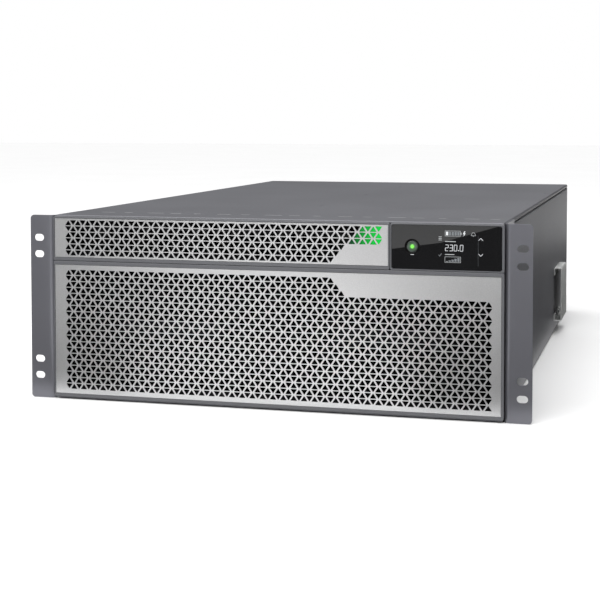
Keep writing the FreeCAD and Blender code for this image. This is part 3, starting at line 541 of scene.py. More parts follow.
# %% Green inserts that brighten to the right
def fading_green(name, dark, bright, start, end):
    material = bpy.data.materials.new(name)
    material.use_nodes = True
    nodes, links = material.node_tree.nodes, material.node_tree.links
    nodes.clear()
    fade = nodes.new("NodeFrame")
    fade.label = "fade"
    place = nodes.new("ShaderNodeTexCoord")
    place.label = "place on the row"
    split = nodes.new("ShaderNodeSeparateXYZ")
    split.label = "distance along the row"
    share = nodes.new("ShaderNodeMapRange")
    share.label = "share of the fade"
    ramp = nodes.new("ShaderNodeValToRGB")
    ramp.label = "dark to bright green"
    cloud = nodes.new("ShaderNodeTexNoise")
    cloud.label = "cloudy plastic"
    shine = nodes.new("ShaderNodeMapRange")
    shine.label = "shine"
    shader = nodes.new("ShaderNodeBsdfPrincipled")
    shader.label = "green plastic"
    output = nodes.new("ShaderNodeOutputMaterial")
    output.label = "surface"
    split.parent = share.parent = ramp.parent = fade
    share.inputs["From Min"].default_value = start
    share.inputs["From Max"].default_value = end
    ramp.color_ramp.elements[0].color = (*dark, 1)
    ramp.color_ramp.elements[1].color = (*bright, 1)
    cloud.inputs["Scale"].default_value = 500.0
    shine.inputs["To Min"].default_value = 0.22
    shine.inputs["To Max"].default_value = 0.34
    shader.inputs["Specular IOR Level"].default_value = 0.12
    links.new(place.outputs["Object"], split.inputs["Vector"])
    links.new(place.outputs["Object"], cloud.inputs["Vector"])
    links.new(split.outputs["X"], share.inputs["Value"])
    links.new(share.outputs["Result"], ramp.inputs["Fac"])
    links.new(ramp.outputs["Color"], shader.inputs["Base Color"])
    links.new(cloud.outputs["Fac"], shine.inputs["Value"])
    links.new(shine.outputs["Result"], shader.inputs["Roughness"])
    links.new(shader.outputs["BSDF"], output.inputs["Surface"])
    for column, node in enumerate((place, split, share, ramp, cloud, shine, shader, output)):
        node.location = (column * 200, -120 * (column % 3))
    return material


# %% [markdown]
# ## Circuit boards
# Boards have a green lacquer over copper tracks, with round solder pads. They are seen only when a bezel
# or the card is pulled, so patterns stand for both: thin joints between bricks for the tracks, and the
# middles of cells for the pads.

# %% Lacquered circuit board
def circuit_board(name, lacquer, copper):
    material = bpy.data.materials.new(name)
    material.use_nodes = True
    nodes, links = material.node_tree.nodes, material.node_tree.links
    nodes.clear()
    tracks = nodes.new("NodeFrame")
    tracks.label = "copper tracks"
    place = nodes.new("ShaderNodeTexCoord")
    place.label = "place on the board"
    bricks = nodes.new("ShaderNodeTexBrick")
    bricks.label = "tracks under the lacquer"
    pads = nodes.new("ShaderNodeTexVoronoi")
    pads.label = "solder pads"
    dots = nodes.new("ShaderNodeMath")
    dots.label = "round pads"
    mix = nodes.new("ShaderNodeMix")
    mix.label = "pads over tracks"
    bump = nodes.new("ShaderNodeBump")
    bump.label = "tracks stand proud"
    shader = nodes.new("ShaderNodeBsdfPrincipled")
    shader.label = "board"
    output = nodes.new("ShaderNodeOutputMaterial")
    output.label = "surface"
    bricks.parent = pads.parent = dots.parent = mix.parent = bump.parent = tracks
    bricks.inputs["Scale"].default_value = 60.0
    bricks.inputs["Color1"].default_value = (*lacquer, 1)
    bricks.inputs["Color2"].default_value = (*[value * 1.3 for value in lacquer], 1)
    bricks.inputs["Mortar"].default_value = (*[value * 0.6 for value in lacquer], 1)
    bricks.inputs["Mortar Size"].default_value = 0.03
    pads.inputs["Scale"].default_value = 220.0
    dots.operation = "LESS_THAN"
    dots.inputs[1].default_value = 0.22
    mix.data_type = "RGBA"
    mix.inputs["B"].default_value = (*copper, 1)
    bump.inputs["Strength"].default_value = 0.1
    bump.inputs["Distance"].default_value = 0.0002
    shader.inputs["Roughness"].default_value = 0.32
    links.new(place.outputs["Object"], bricks.inputs["Vector"])
    links.new(place.outputs["Object"], pads.inputs["Vector"])
    links.new(pads.outputs["Distance"], dots.inputs[0])
    links.new(dots.outputs["Value"], mix.inputs["Factor"])
    links.new(bricks.outputs["Color"], mix.inputs["A"])
    links.new(mix.outputs["Result"], shader.inputs["Base Color"])
    links.new(bricks.outputs["Fac"], bump.inputs["Height"])
    links.new(bump.outputs["Normal"], shader.inputs["Normal"])
    links.new(shader.outputs["BSDF"], output.inputs["Surface"])
    for column, node in enumerate((place, bricks, pads, dots, mix, bump, shader, output)):
        node.location = (column * 200, -120 * (column % 3))
    return material


# %% [markdown]
# ## Striped metal
# Extruded fins show the die's lines and a coil shows its turns. Both are a wave of a fixed pitch, so one
# function serves both with its colours and direction as arguments.

# %% Striped metal: die lines or a winding
def striped_metal(name, colour, dark, pitch, roughness=0.35, along="X"):
    material = bpy.data.materials.new(name)
    material.use_nodes = True
    nodes, links = material.node_tree.nodes, material.node_tree.links
    nodes.clear()
    stripes = nodes.new("NodeFrame")
    stripes.label = "stripes"
    place = nodes.new("ShaderNodeTexCoord")
    place.label = "place on the metal"
    wave = nodes.new("ShaderNodeTexWave")
    wave.label = "lines or turns"
    tone = nodes.new("ShaderNodeValToRGB")
    tone.label = "metal and grooves"
    bump = nodes.new("ShaderNodeBump")
    bump.label = "round turns"
    shader = nodes.new("ShaderNodeBsdfPrincipled")
    shader.label = "metal"
    output = nodes.new("ShaderNodeOutputMaterial")
    output.label = "surface"
    wave.parent = tone.parent = bump.parent = stripes
    wave.bands_direction = along
    wave.inputs["Scale"].default_value = 0.314 / pitch
    wave.inputs["Distortion"].default_value = 0.6
    wave.inputs["Detail"].default_value = 1.0
    tone.color_ramp.elements[0].color = (*dark, 1)
    tone.color_ramp.elements[1].color = (*colour, 1)
    bump.inputs["Strength"].default_value = 0.35
    bump.inputs["Distance"].default_value = 0.0003
    shader.inputs["Metallic"].default_value = 0.95
    shader.inputs["Roughness"].default_value = roughness
    links.new(place.outputs["Object"], wave.inputs["Vector"])
    links.new(wave.outputs["Fac"], tone.inputs["Fac"])
    links.new(tone.outputs["Color"], shader.inputs["Base Color"])
    links.new(wave.outputs["Fac"], bump.inputs["Height"])
    links.new(bump.outputs["Normal"], shader.inputs["Normal"])
    links.new(shader.outputs["BSDF"], output.inputs["Surface"])
    for column, node in enumerate((place, wave, tone, bump, shader, output)):
        node.location = (column * 200, -120 * (column % 3))
    return material


# %% [markdown]
# ## A cap lit from inside
# The button is smoked plastic over a small light. Its glow is worked out from the distance to the
# button's centre, so no lamp has to be hidden in it.

# %% A translucent cap lit from its middle
def glowing_cap(name, colour, glow, centre, core, reach, strength=0.16):
    """The glow falls from the light pipe's radius, core, to nothing at reach. Sizes are in millimetres."""
    material = bpy.data.materials.new(name)
    material.use_nodes = True
    nodes, links = material.node_tree.nodes, material.node_tree.links
    nodes.clear()
    light = nodes.new("NodeFrame")
    light.label = "light spreads from the pipe"
    place = nodes.new("ShaderNodeTexCoord")
    place.label = "place on the cap"
    middle = nodes.new("ShaderNodeVectorMath")
    middle.label = "from the button's axis"
    level = nodes.new("ShaderNodeVectorMath")
    level.label = "radius only"
    radius = nodes.new("ShaderNodeVectorMath")
    radius.label = "radius"
    fall = nodes.new("ShaderNodeMapRange")
    fall.label = "light left at this radius"
    cloud = nodes.new("ShaderNodeTexNoise")
    cloud.label = "cloudy plastic"
    shine = nodes.new("ShaderNodeMapRange")
    shine.label = "shine"
    shader = nodes.new("ShaderNodeBsdfPrincipled")
    shader.label = "smoked plastic"
    output = nodes.new("ShaderNodeOutputMaterial")
    output.label = "surface"
    middle.parent = level.parent = radius.parent = fall.parent = light
    middle.operation = "SUBTRACT"
    middle.inputs[1].default_value = (centre[0] * mm, 0, centre[1] * mm)
    level.operation = "MULTIPLY"
    level.inputs[1].default_value = (1, 0, 1)
    radius.operation = "LENGTH"
    fall.interpolation_type = "SMOOTHSTEP"
    fall.inputs["From Min"].default_value = core * mm * 0.8
    fall.inputs["From Max"].default_value = reach * mm
    fall.inputs["To Min"].default_value = strength
    fall.inputs["To Max"].default_value = 0.0
    cloud.inputs["Scale"].default_value = 400.0
    shine.inputs["To Min"].default_value = 0.12
    shine.inputs["To Max"].default_value = 0.2
    shader.inputs["Base Color"].default_value = (*colour, 1)
    shader.inputs["Emission Color"].default_value = (*glow, 1)
    links.new(place.outputs["Object"], middle.inputs[0])
    links.new(place.outputs["Object"], cloud.inputs["Vector"])
    links.new(middle.outputs["Vector"], level.inputs[0])
    links.new(level.outputs["Vector"], radius.inputs[0])
    links.new(radius.outputs["Value"], fall.inputs["Value"])
    links.new(fall.outputs["Result"], shader.inputs["Emission Strength"])
    links.new(cloud.outputs["Fac"], shine.inputs["Value"])
    links.new(shine.outputs["Result"], shader.inputs["Roughness"])
    links.new(shader.outputs["BSDF"], output.inputs["Surface"])
    for column, node in enumerate((place, middle, level, radius, fall, cloud, shine, shader, output)):
        node.location = (column * 200, -120 * (column % 3))
    return material


# %% [markdown]
# ## The machine's own finishes
# Each real material gets its colour and shine once, here, so that pieces made of the same stuff match.
# One of them, the near-black inner coat, is painted shade rather than a real finish.

# %% The finishes of this machine
BUTTON = (133.9, 155.3)
case_paint = powder_coat("case powder coat", (0.135, 0.136, 0.150))
ear_paint = powder_coat("ear powder coat", (0.185, 0.186, 0.208), roughness=0.33, metal=0.6)
# Painted shade: a near-black, almost shineless coat for the parts seen through the holes, whose own finish is
# brighter steel.
painted_shade_black = powder_coat("black painted shade", (0.002, 0.002, 0.0022), roughness=0.8, metal=0.0, gleam=0.04)
silver = silver_paint("satin silver", (0.68, 0.68, 0.685), roughness=0.36)
bezel_grey = moulded_plastic("bezel plastic", (0.105, 0.107, 0.116), roughness=0.36)
outlet_black = moulded_plastic("outlet plastic", (0.016, 0.016, 0.018), roughness=0.45)
fan_black = moulded_plastic("fan plastic", (0.014, 0.014, 0.015), roughness=0.36, grain=900)
# Grip plastic is real black plastic, but darkened to near-black with almost no shine as painted shade: it
# also lines the frames' insides behind the plates.
grip_black_and_shade = moulded_plastic("grip plastic and painted shade", (0.006, 0.006, 0.007), roughness=0.6, grain=700, depth=0.3,
                             gleam=0.06)
cell_black = moulded_plastic("battery plastic", (0.03, 0.03, 0.034), roughness=0.5, grain=500, depth=0.3)
sleeve_blue = moulded_plastic("capacitor sleeve", (0.012, 0.016, 0.05), roughness=0.25, grain=200)
ring_black = moulded_plastic("button ring", (0.004, 0.004, 0.004), roughness=0.3, depth=0.02, gleam=0.1)
lever_black = moulded_plastic("lever plastic", (0.01, 0.01, 0.01), roughness=0.2, depth=0.05)
zinc_bright = zinc_plate("bright zinc", (0.74, 0.75, 0.74), roughness=0.46, metal=0.7)
zinc_inner = zinc_plate("zinc sheet", (0.58, 0.59, 0.6), roughness=0.36, patch=90)
zinc_screw = zinc_plate("screw zinc", (0.66, 0.66, 0.67), roughness=0.22, patch=700)
wire_nickel = zinc_plate("nickel wire", (0.7, 0.69, 0.68), roughness=0.16, patch=1200)
display_black = black_glass("display glass", (0.006, 0.006, 0.0065), roughness=0.004)
lcd_dark = black_glass("liquid crystal", (0.004, 0.005, 0.007), roughness=0.12)
board_green = circuit_board("circuit board", (0.008, 0.07, 0.03), (0.7, 0.55, 0.3))
fin_metal = striped_metal("extruded aluminium", (0.66, 0.67, 0.69), (0.5, 0.5, 0.52), 1.2 * mm)
winding = striped_metal("copper winding", (0.72, 0.33, 0.13), (0.25, 0.09, 0.03), 1.6 * mm, along="Z")
segment_white = lit_segment("lit white", (0.95, 0.97, 1.0), 0.7)
segment_soft = lit_segment("lit soft", (0.9, 0.93, 0.95), 0.3)
segment_dim = lit_segment("lit dim", (0.7, 0.75, 0.8), 0.05)
light_green = glowing_cap("green light", (0.03, 0.12, 0.03), (0.26, 1.0, 0.10), BUTTON, 1.1, 2.7, 0.95)
button_glow = glowing_cap("smoked button", (0.05, 0.065, 0.055), (0.12, 0.75, 0.08), BUTTON, 1.5, 4.3)
print("finishes:", len(bpy.data.materials))


# %% [markdown]
# # Sheet metal with openings
# Punched sheet is a flat pattern first: an outline, its openings, and the lines where the brake bends it.
# Cutting each hole with a boolean would leave ragged shading. Here the flat pattern is filled with
# triangles, given its thickness, and only then carried round its bends.

# %% Fill a flat pattern and give it thickness
def inside(points, loop):
    """Even-odd rule: a ray to the right of an inside point crosses the loop an odd number of times."""
    start, end = loop, np.roll(loop, -1, 0)
    across, up = points[:, :1], points[:, 1:]
    spans = (start[:, 1] > up) != (end[:, 1] > up)
    rise = np.where(end[:, 1] == start[:, 1], 1.0, end[:, 1] - start[:, 1])
    meets = start[:, 0] + (up - start[:, 1]) / rise * (end[:, 0] - start[:, 0])
    return (spans & (across < meets)).sum(axis=1) % 2 == 1


def punched(loops, near, far, creases=()):
    """A sheet that fills the first loop and leaves the others open.

    near and far carry flat points to the sheet's two faces. Its rim joins them: it stands on every edge
    that belongs to only one triangle.
    """
    outlines = [np.asarray(loop, dtype=float) for loop in loops]
    corners = np.concatenate([*outlines, np.reshape(creases, (-1, 2))])
    edges, start = [], 0
    for loop in loops:
        edges += [(start + k, start + (k + 1) % len(loop)) for k in range(len(loop))]
        start += len(loop)
    edges += [(start + 2 * k, start + 2 * k + 1) for k in range(len(creases))]
    made = delaunay_2d_cdt([Vector(corner) for corner in corners], edges, [], 0, 1e-5)
    flat = np.array([tuple(point) for point in made[0]])
    triangles = np.array([tuple(face) for face in made[2]])
    middles = flat[triangles].mean(axis=1)
    keep = inside(middles, np.asarray(loops[0]))
    for loop in loops[1:]:
        keep &= ~inside(middles, np.asarray(loop))
    triangles = triangles[keep]
    used, triangles = np.unique(triangles, return_inverse=True)
    flat, triangles = flat[used], triangles.reshape(-1, 3)
    sides = np.concatenate([triangles[:, [0, 1]], triangles[:, [1, 2]], triangles[:, [2, 0]]])
    names, counts = np.unique(np.sort(sides, axis=1), axis=0, return_counts=True)
    rim = names[counts == 1]
    count = len(flat)
    walls = np.stack([rim[:, 0], rim[:, 1], rim[:, 1] + count, rim[:, 0] + count], axis=-1)
    faces = triangles.tolist() + (triangles[:, ::-1] + count).tolist() + walls.tolist()
    return np.concatenate([near(flat), far(flat)]), faces


def upright(loops, near, far):
    """A punched sheet that stands across the machine between two depths."""
    return punched(loops, lambda flat: at_depth(flat, near), lambda flat: at_depth(flat, far))


def slab(outline, near, far, edge=0.0, lay=at_depth):
    """A solid with one outline between two stations, its two rims chamfered by edge."""
    if not edge:
        return loft([lay(outline, near), lay(outline, far)])
    step = math.copysign(edge, far - near)
    small = inset(outline, edge)
    return loft([lay(small, near), lay(outline, near + step), lay(outline, far - step), lay(small, far)])


def inset(outline, distance):
    """Moves each point inwards so that both of its sides move in by the distance."""
    outline = np.asarray(outline, dtype=float)
    along = np.roll(outline, -1, 0) - outline
    along /= np.linalg.norm(along, axis=1, keepdims=True)
    turned_in = np.stack([-along[:, 1], along[:, 0]], axis=-1)
    before = np.roll(turned_in, 1, 0)
    share = 1 + (turned_in * before).sum(axis=1, keepdims=True)
    return outline + distance * (turned_in + before) / share


def stadium(centre, length, width, steps=8):
    """A slot: two half circles as wide as the slot, their centres apart by its length less its width."""
    half = (length - width) / 2
    turn = np.linspace(-math.pi / 2, math.pi / 2, steps + 1)
    right = np.stack([half + width / 2 * np.cos(turn), width / 2 * np.sin(turn)], axis=-1)
    return np.asarray(centre) + np.concatenate([right, -right])


def turned(profile, centre, along="y", ends="cap", count=40):
    """A turned body: each (radius, station) of the profile is a circle about the centre's axis."""
    lay = {"x": at_side, "y": at_depth, "z": at_height}[along]
    return loft([lay(circle(centre, radius, count), station) for radius, station in profile], ends)


# %% [markdown]
# # The perforated plates
# The plates are punched with small triangles that point up and down in turn. Each hole sits in its own
# cell of a regular lattice. A cell has twelve points on its border and twelve on its hole, so twelve
# quads fill it. Thousands of holes then come from one array computation and keep clean, punched edges.

# %% Holes in cells
PITCH_X, PITCH_Z, HOLE_WIDTH, HOLE_HEIGHT, HOLE_CORNER = 4.985, 5.78, 6.55, 5.0, 0.35
LEAN = PITCH_Z * HOLE_WIDTH / 2 / HOLE_HEIGHT
FIRST_X = -201.0
PLATE_FRONT, PLATE_BACK, SEAT = -362.6, -362.0, -361.6


def triangle_hole(points_up, growth=0.0, steps=3):
    """A rounded triangle about the origin. Its sides are growth further out than the hole's."""
    half, height = HOLE_WIDTH / 2, HOLE_HEIGHT
    slant = math.hypot(half, height)
    wider, taller = growth * (slant + half) / height, growth * (1 + slant / half)
    corners = np.array([(0, height / 2 + taller - growth), (-half - wider, -height / 2 - growth),
                        (half + wider, -height / 2 - growth)])
    sense = 1 if points_up else -1
    return rounded_outline(corners * sense, [HOLE_CORNER + growth] * 3, steps)


def cell_border(points_up, lean=LEAN):
    """Twelve points on a cell's border, in thirds of each side, from its top right corner.

    The cell's flanks lean as the hole's flanks do, so cells that point up and down fit into each other.
    """
    side = np.array([0, 1, 2]) / 3 - 0.5
    top = np.stack([-side, np.full(3, 0.5)], axis=-1)
    left = np.stack([np.full(3, -0.5), -side], axis=-1)
    unit = np.concatenate([top, left, -top, -left])
    width = PITCH_X - (2 if points_up else -2) * unit[:, 1] * lean
    return np.stack([unit[:, 0] * width, unit[:, 1] * PITCH_Z], axis=-1)


def matched(ring, border):
    """Turns a ring's numbering until its points lie nearest to the border's."""
    costs = [np.linalg.norm(np.roll(ring, shift, 0) - border, axis=1).sum() for shift in range(len(ring))]
    return np.roll(ring, int(np.argmin(costs)), 0)


def perforated_plate(outline, rows, columns, edge=0.06):
    """A plate with a triangular hole in each chosen cell.

    rows holds, from the top down, each row's height and its number of holes. Even cells of even rows and
    odd cells of odd rows point up. levels stacks five sets of points, twelve for each cell: its border at
    the front and the back, then the outer edge, inner edge and far rim of its hole.
    """
    row, column = np.meshgrid(np.arange(len(rows)), np.arange(columns), indexing="ij")
    row, column = row.ravel(), column.ravel()
    heights = np.array([height for height, holes in rows])
    centres = np.stack([FIRST_X + column * PITCH_X, heights[row]], axis=-1)
    holed = column < np.array([holes for height, holes in rows])[row]
    borders = [cell_border(points_up) for points_up in (False, True)]
    upward = ((row + column) % 2 == 0).astype(int)
    shapes = {}
    for growth in (0.0, edge):
        pair = [matched(triangle_hole(bool(sense), growth), borders[sense]) for sense in (0, 1)]
        shapes[growth] = np.stack(pair)[upward] + centres[:, None]
    cells = np.stack(borders)[upward] + centres[:, None]
    levels = [at_depth(cells.reshape(-1, 2), PLATE_FRONT), at_depth(cells.reshape(-1, 2), PLATE_BACK),
              at_depth(shapes[edge].reshape(-1, 2), PLATE_FRONT),
              at_depth(shapes[0.0].reshape(-1, 2), PLATE_FRONT + edge),
              at_depth(shapes[0.0].reshape(-1, 2), PLATE_BACK)]
    count = len(cells) * 12
    index = np.arange(count).reshape(-1, 12)
    plain = index[~holed]
    faces = plain.tolist() + (plain[:, ::-1] + count).tolist()
    opened = index[holed]
    for outer, inner in ((0, 2), (2, 3), (3, 4), (4, 1)):
        near, far = opened + outer * count, opened + inner * count
        quads = np.stack([near, np.roll(near, -1, 1), np.roll(far, -1, 1), far], axis=-1)
        faces += quads.reshape(-1, 4).tolist()
    points = np.concatenate(levels)
    used, renumbered = np.unique(np.concatenate([np.ravel(face) for face in faces]), return_inverse=True)
    lengths = np.array([len(face) for face in faces])
    faces = [part.tolist() for part in np.split(renumbered.ravel(), np.cumsum(lengths)[:-1])]
    return (points[used], faces), plate_margin(outline, heights, columns)


def lattice_border(heights, columns, lean):
    """Points round the whole lattice, clockwise from its top left corner, taken from its outer cells."""
    last = len(heights) - 1
    round_trip = [(0, column, part) for column in range(columns) for part in (3, 2, 1)]
    round_trip += [(row, columns - 1, part) for row in range(last + 1) for part in (0, 11, 10)]
    round_trip += [(last, column, part) for column in reversed(range(columns)) for part in (9, 8, 7)]
    round_trip += [(row, 0, part) for row in reversed(range(last + 1)) for part in (6, 5, 4)]
    borders = [cell_border(points_up, lean) for points_up in (False, True)]
    return np.array([borders[(row + column + 1) % 2][part] + (FIRST_X + column * PITCH_X, heights[row])
                     for row, column, part in round_trip])


def plate_margin(outline, heights, columns, edge=0.25):
    """The solid rim of a plate between its lattice of cells and its edges.

    Each point of the lattice's border moves to the plate's edge by stretching one rectangle to the other.
    """
    left, right, low, high = outline
    level, leaning = [lattice_border(heights, columns, lean) for lean in (0.0, LEAN)]
    share = (level - level.min(0)) / np.ptp(level, axis=0)
    stretched = [(left + reach, low + reach) + share * (right - left - 2 * reach, high - low - 2 * reach)
                 for reach in (edge, 0.0)]
    loops = [at_depth(leaning, PLATE_FRONT), at_depth(stretched[0], PLATE_FRONT),
             at_depth(stretched[1], PLATE_FRONT + edge), at_depth(stretched[1], PLATE_BACK),
             at_depth(leaning, PLATE_BACK)]
    points, faces = loft(loops, "join")
    return points, faces[:-len(leaning)]


# %% [markdown]
# ## Plates and inserts
# The lattice helper now makes both plates from a list of rows: each row's height and its number of holes.
# The inserts are the same triangles, a little smaller, set into the last holes of three rows.

# %% The two plates and the green inserts
UPPER_ROWS = [(170.1 - row * PITCH_Z, holes) for row, holes in enumerate((62, 62, 62, 55, 54, 53))]
LOWER_ROWS = [(122.5 - row * PITCH_Z, holes) for row, holes in enumerate([53, 54, 55] + [82] * 17)]
upper_plate = (-215.0, 111.8, 137.0, 174.4)
lower_plate = (-215.0, 214.0, 5.6, 129.8)
piece("upper_plate", perforated_plate(upper_plate, UPPER_ROWS, 62), silver, "upper_bezel", ["upper_grille"],
      smooth=25)
piece("lower_plate", perforated_plate(lower_plate, LOWER_ROWS, 82), silver, "lower_bezel", ["lower_grille"],
      smooth=25)

inserts = []
for row, first in ((0, 58), (1, 57), (2, 56)):
    for column in range(first, 62):
        shape = triangle_hole((row + column) % 2 == 0, -0.05)
        shape = shape + (FIRST_X + column * PITCH_X, UPPER_ROWS[row][0])
        inserts.append(slab(shape, PLATE_FRONT + 0.1, SEAT + 0.2, 0.12))
green = fading_green("green inserts", (0.003, 0.05, 0.014), (0.004, 0.52, 0.05),
                     (FIRST_X + 56 * PITCH_X) * mm, (FIRST_X + 61 * PITCH_X) * mm)
piece("green_inserts", inserts, green, "upper_bezel", ["grille_accents"])


# %% [markdown]
# # The moulded bezels
# Each bezel is a shallow frame with a rounded outer edge and a seat that holds its plate flush. Walls
# behind it enter the case, and ball studs snap into clips. The frame is one loft of rounded rectangles.
# The margins differ on the four sides, which is why a frame with an even border wouldn't fit.

# %% Frames round the plates
BEZEL_FRONT, SKIN_BACK, WALL_BACK = -363.0, -361.0, -342.0


def edge_round(outer, radius, front, steps=4):
    """Loops that round a frame's front edge: inset and depth follow a quarter circle."""
    loops = []
    for turn in np.linspace(0, math.pi / 2, steps + 1):
        reach = radius * (1 - math.cos(turn))
        left, right, low, high = outer
        shape = rounded_rectangle(left + reach, right - reach, low + reach, high - reach, 1.6 - reach)
        loops.append(at_depth(shape, front + radius * (1 - math.sin(turn))))
    return loops


def frame_shells(outer, seat, ring, studs):
    """The skin with its seat, the walls behind it and the studs."""
    left, right, low, high = seat
    lip = rounded_rectangle(left - 0.3, right + 0.3, low - 0.3, high + 0.3, 0.9)
    hole = rounded_rectangle(left - 0.12, right + 0.12, low - 0.12, high + 0.12, 0.7)
    opening = rounded_rectangle(left + 0.8, right - 0.8, low + 0.8, high - 0.8, 0.7)
    blunt = rounded_rectangle(*outer, 1.6)
    skin = [at_depth(blunt, SKIN_BACK), *edge_round(outer, 0.6, BEZEL_FRONT), at_depth(lip, BEZEL_FRONT),
            at_depth(hole, BEZEL_FRONT + 0.18), at_depth(hole, SEAT), at_depth(opening, SEAT),
            at_depth(opening, SKIN_BACK)]
    left, right, low, high = ring
    wall = rounded_rectangle(left, right, low, high, 2.0)
    hollow = rounded_rectangle(left + 3.9, right - 3.9, low + 3.9, high - 3.9, 1.0)
    walls = [at_depth(wall, SKIN_BACK), at_depth(wall, WALL_BACK), at_depth(hollow, WALL_BACK),
             at_depth(hollow, SKIN_BACK)]
    pins = [turned([(1.7, WALL_BACK - 6), (1.7, WALL_BACK + 7), (1.2, -334.2), (1.75, -332.6), (1.4, -331.4),
                    (0.6, -331.0)], centre, count=16) for centre in studs]
    return [loft(skin, "join"), loft(walls, "join"), *pins]


upper_studs = [(across, up) for across in (-209.5, 109.5) for up in (146.0, 160.0)]
lower_studs = [(across, up) for across in (-209.5, 209.5) for up in (22.0, 114.0)]
upper_ring = (-211.5, 111.5, 136.4, 168.0)
lower_ring = (-211.5, 211.5, 5.5, 130.8)
upper_frame = frame_shells((-216.5, 113.3, 133.75, 176.1), upper_plate, upper_ring, upper_studs)
lower_frame = frame_shells((-216.5, 216.5, 2.6, 133.45), lower_plate, lower_ring, lower_studs)
frames = [piece(word + "_frame", shells, bezel_grey, word + "_bezel", [word + "_bezel_frame"]) for word, shells in (("upper", upper_frame), ("lower", lower_frame))]
# The frames' faces behind the plates take the near-black grip plastic: painted shade, so that the holes look
# dark.
for frame_piece in frames:
    mesh = frame_piece.data
    middles = np.empty(len(mesh.polygons) * 3)
    mesh.polygons.foreach_get("center", middles)
    middles = middles.reshape(-1, 3) / mm
    shell = np.abs(middles[:, [0, 2]] - (middles[:, [0, 2]].max(0) + middles[:, [0, 2]].min(0)) / 2)
    painted_shade_faces = (middles[:, 1] > SEAT - 0.2) & (shell < np.ptp(middles[:, [0, 2]], axis=0) / 2 - 0.6).all(1)
    mesh.materials.append(grip_black_and_shade)
    mesh.polygons.foreach_set("material_index", painted_shade_faces.astype(np.int32))
print("faces in black inside the frames:", int(painted_shade_faces.sum()))

# %% [markdown]
# ## The display
# A pane of black glass lies in a moulded rim with a hairline gap round it. The power button passes through
# a round hole in the pane. The rim is one loft that goes round the front edge, down into the pocket and
# out through the opening in its floor, so that the gap has a real depth and catches a thin shadow.

# %% Rim, box and glass
GLASS = (115.2, 214.2, 135.2, 174.6)
RIM = (113.7, 216.6, 133.75, 176.1)
POCKET_FLOOR, BOX_BACK = -361.58, -329.5


def grown(rectangle, reach):
    left, right, low, high = rectangle
    return left - reach, right + reach, low - reach, high + reach


pocket = rounded_rectangle(*grown(GLASS, 0.35), 2.0)
pocket_lip = rounded_rectangle(*grown(GLASS, 0.5), 2.1)
floor_opening = rounded_rectangle(152.0, 204.0, 142.0, 166.0, 1.0)
rim_loops = [at_depth(rounded_rectangle(*RIM, 1.6), SKIN_BACK), *edge_round(RIM, 0.45, BEZEL_FRONT),
             at_depth(pocket_lip, BEZEL_FRONT), at_depth(pocket, BEZEL_FRONT + 0.15),
             at_depth(pocket, POCKET_FLOOR), at_depth(floor_opening, POCKET_FLOOR),
             at_depth(floor_opening, SKIN_BACK)]
box_outer = rounded_rectangle(116.8, 211.5, 137.4, 168.0, 2.0)
box_inner = rounded_rectangle(118.8, 209.5, 139.4, 166.0, 1.0)
box_loops = [at_depth(box_outer, SKIN_BACK), at_depth(box_outer, BOX_BACK), at_depth(box_inner, BOX_BACK),
             at_depth(box_inner, SKIN_BACK)]
piece("display_rim", [loft(rim_loops, "join"), loft(box_loops, "join")], bezel_grey, "chassis",
      ["display_housing"])
well = circle(BUTTON, 6.9, 64)
pane = upright([rounded_rectangle(*GLASS, 1.8), well], -362.94, -361.6)
piece("display_pane", [pane], display_black, "chassis", ["display_glass"], edge=0.15)

# %% [markdown]
# ## Symbols
# The symbols light up behind the glass and could be a picture on it. Thin strokes laid on its face stay
# sharp at any distance, and a few helpers for lines, bars and digits draw all of them. The number is a
# plain voltage reading.

# %% Symbols as strokes
INK, FILM = -362.955, 0.04


def stroke(points, width, closed=False):
    """A line of even width along a path, with each corner mitred."""
    points = np.asarray(points, dtype=float)
    along = np.roll(points, -1, 0) - points
    if not closed:
        along[-1] = along[-2]
    along /= np.linalg.norm(along, axis=1, keepdims=True)
    before = np.roll(along, 1, 0)
    if not closed:
        before[0] = along[0]
    normals = [np.stack([-step[:, 1], step[:, 0]], axis=-1) for step in (along, before)]
    side = (normals[0] + normals[1]) / (1 + (normals[0] * normals[1]).sum(axis=1, keepdims=True))
    left, right = points + side * width / 2, points - side * width / 2
    edges = [(left, INK), (right, INK), (right, INK + FILM), (left, INK + FILM)]
    corners = [at_depth(edge, depth) for edge, depth in edges]
    return loft(np.stack(corners, axis=1), "join" if closed else "cap")


def filled(corners):
    return slab(np.asarray(corners, dtype=float), INK, INK + FILM)


def bar(left, right, low, high):
    return filled([(left, low), (right, low), (right, high), (left, high)])


def seven_segments(text, left, low, width, height, line=0.4, lean=0.04):
    """Digits from seven strokes each: across the top, middle and bottom, and four upright halves."""
    lit = {"0": "abcdef", "2": "abged", "3": "abgcd"}
    shapes = []
    for sign in text:
        if sign == ".":
            shapes.append(bar(left - 0.3, left + 0.5, low, low + 0.8))
            left += 1.5
            continue
        middle, top, right = low + height / 2, low + height, left + width
        ends = {"a": ((left, top), (right, top)), "b": ((right, top), (right, middle)),
                "c": ((right, middle), (right, low)), "d": ((left, low), (right, low)),
                "e": ((left, middle), (left, low)), "f": ((left, top), (left, middle)),
                "g": ((left, middle), (right, middle))}
        for name in lit[sign]:
            (x0, z0), (x1, z1) = ends[name]
            shapes.append(stroke([(x0 + lean * (z0 - low), z0), (x1 + lean * (z1 - low), z1)], line))
        left += width + 1.35
    return shapes


def chevron(middle, low, high, reach=1.9):
    return stroke([(middle - reach, low), (middle, high), (middle + reach, low)], 0.4)


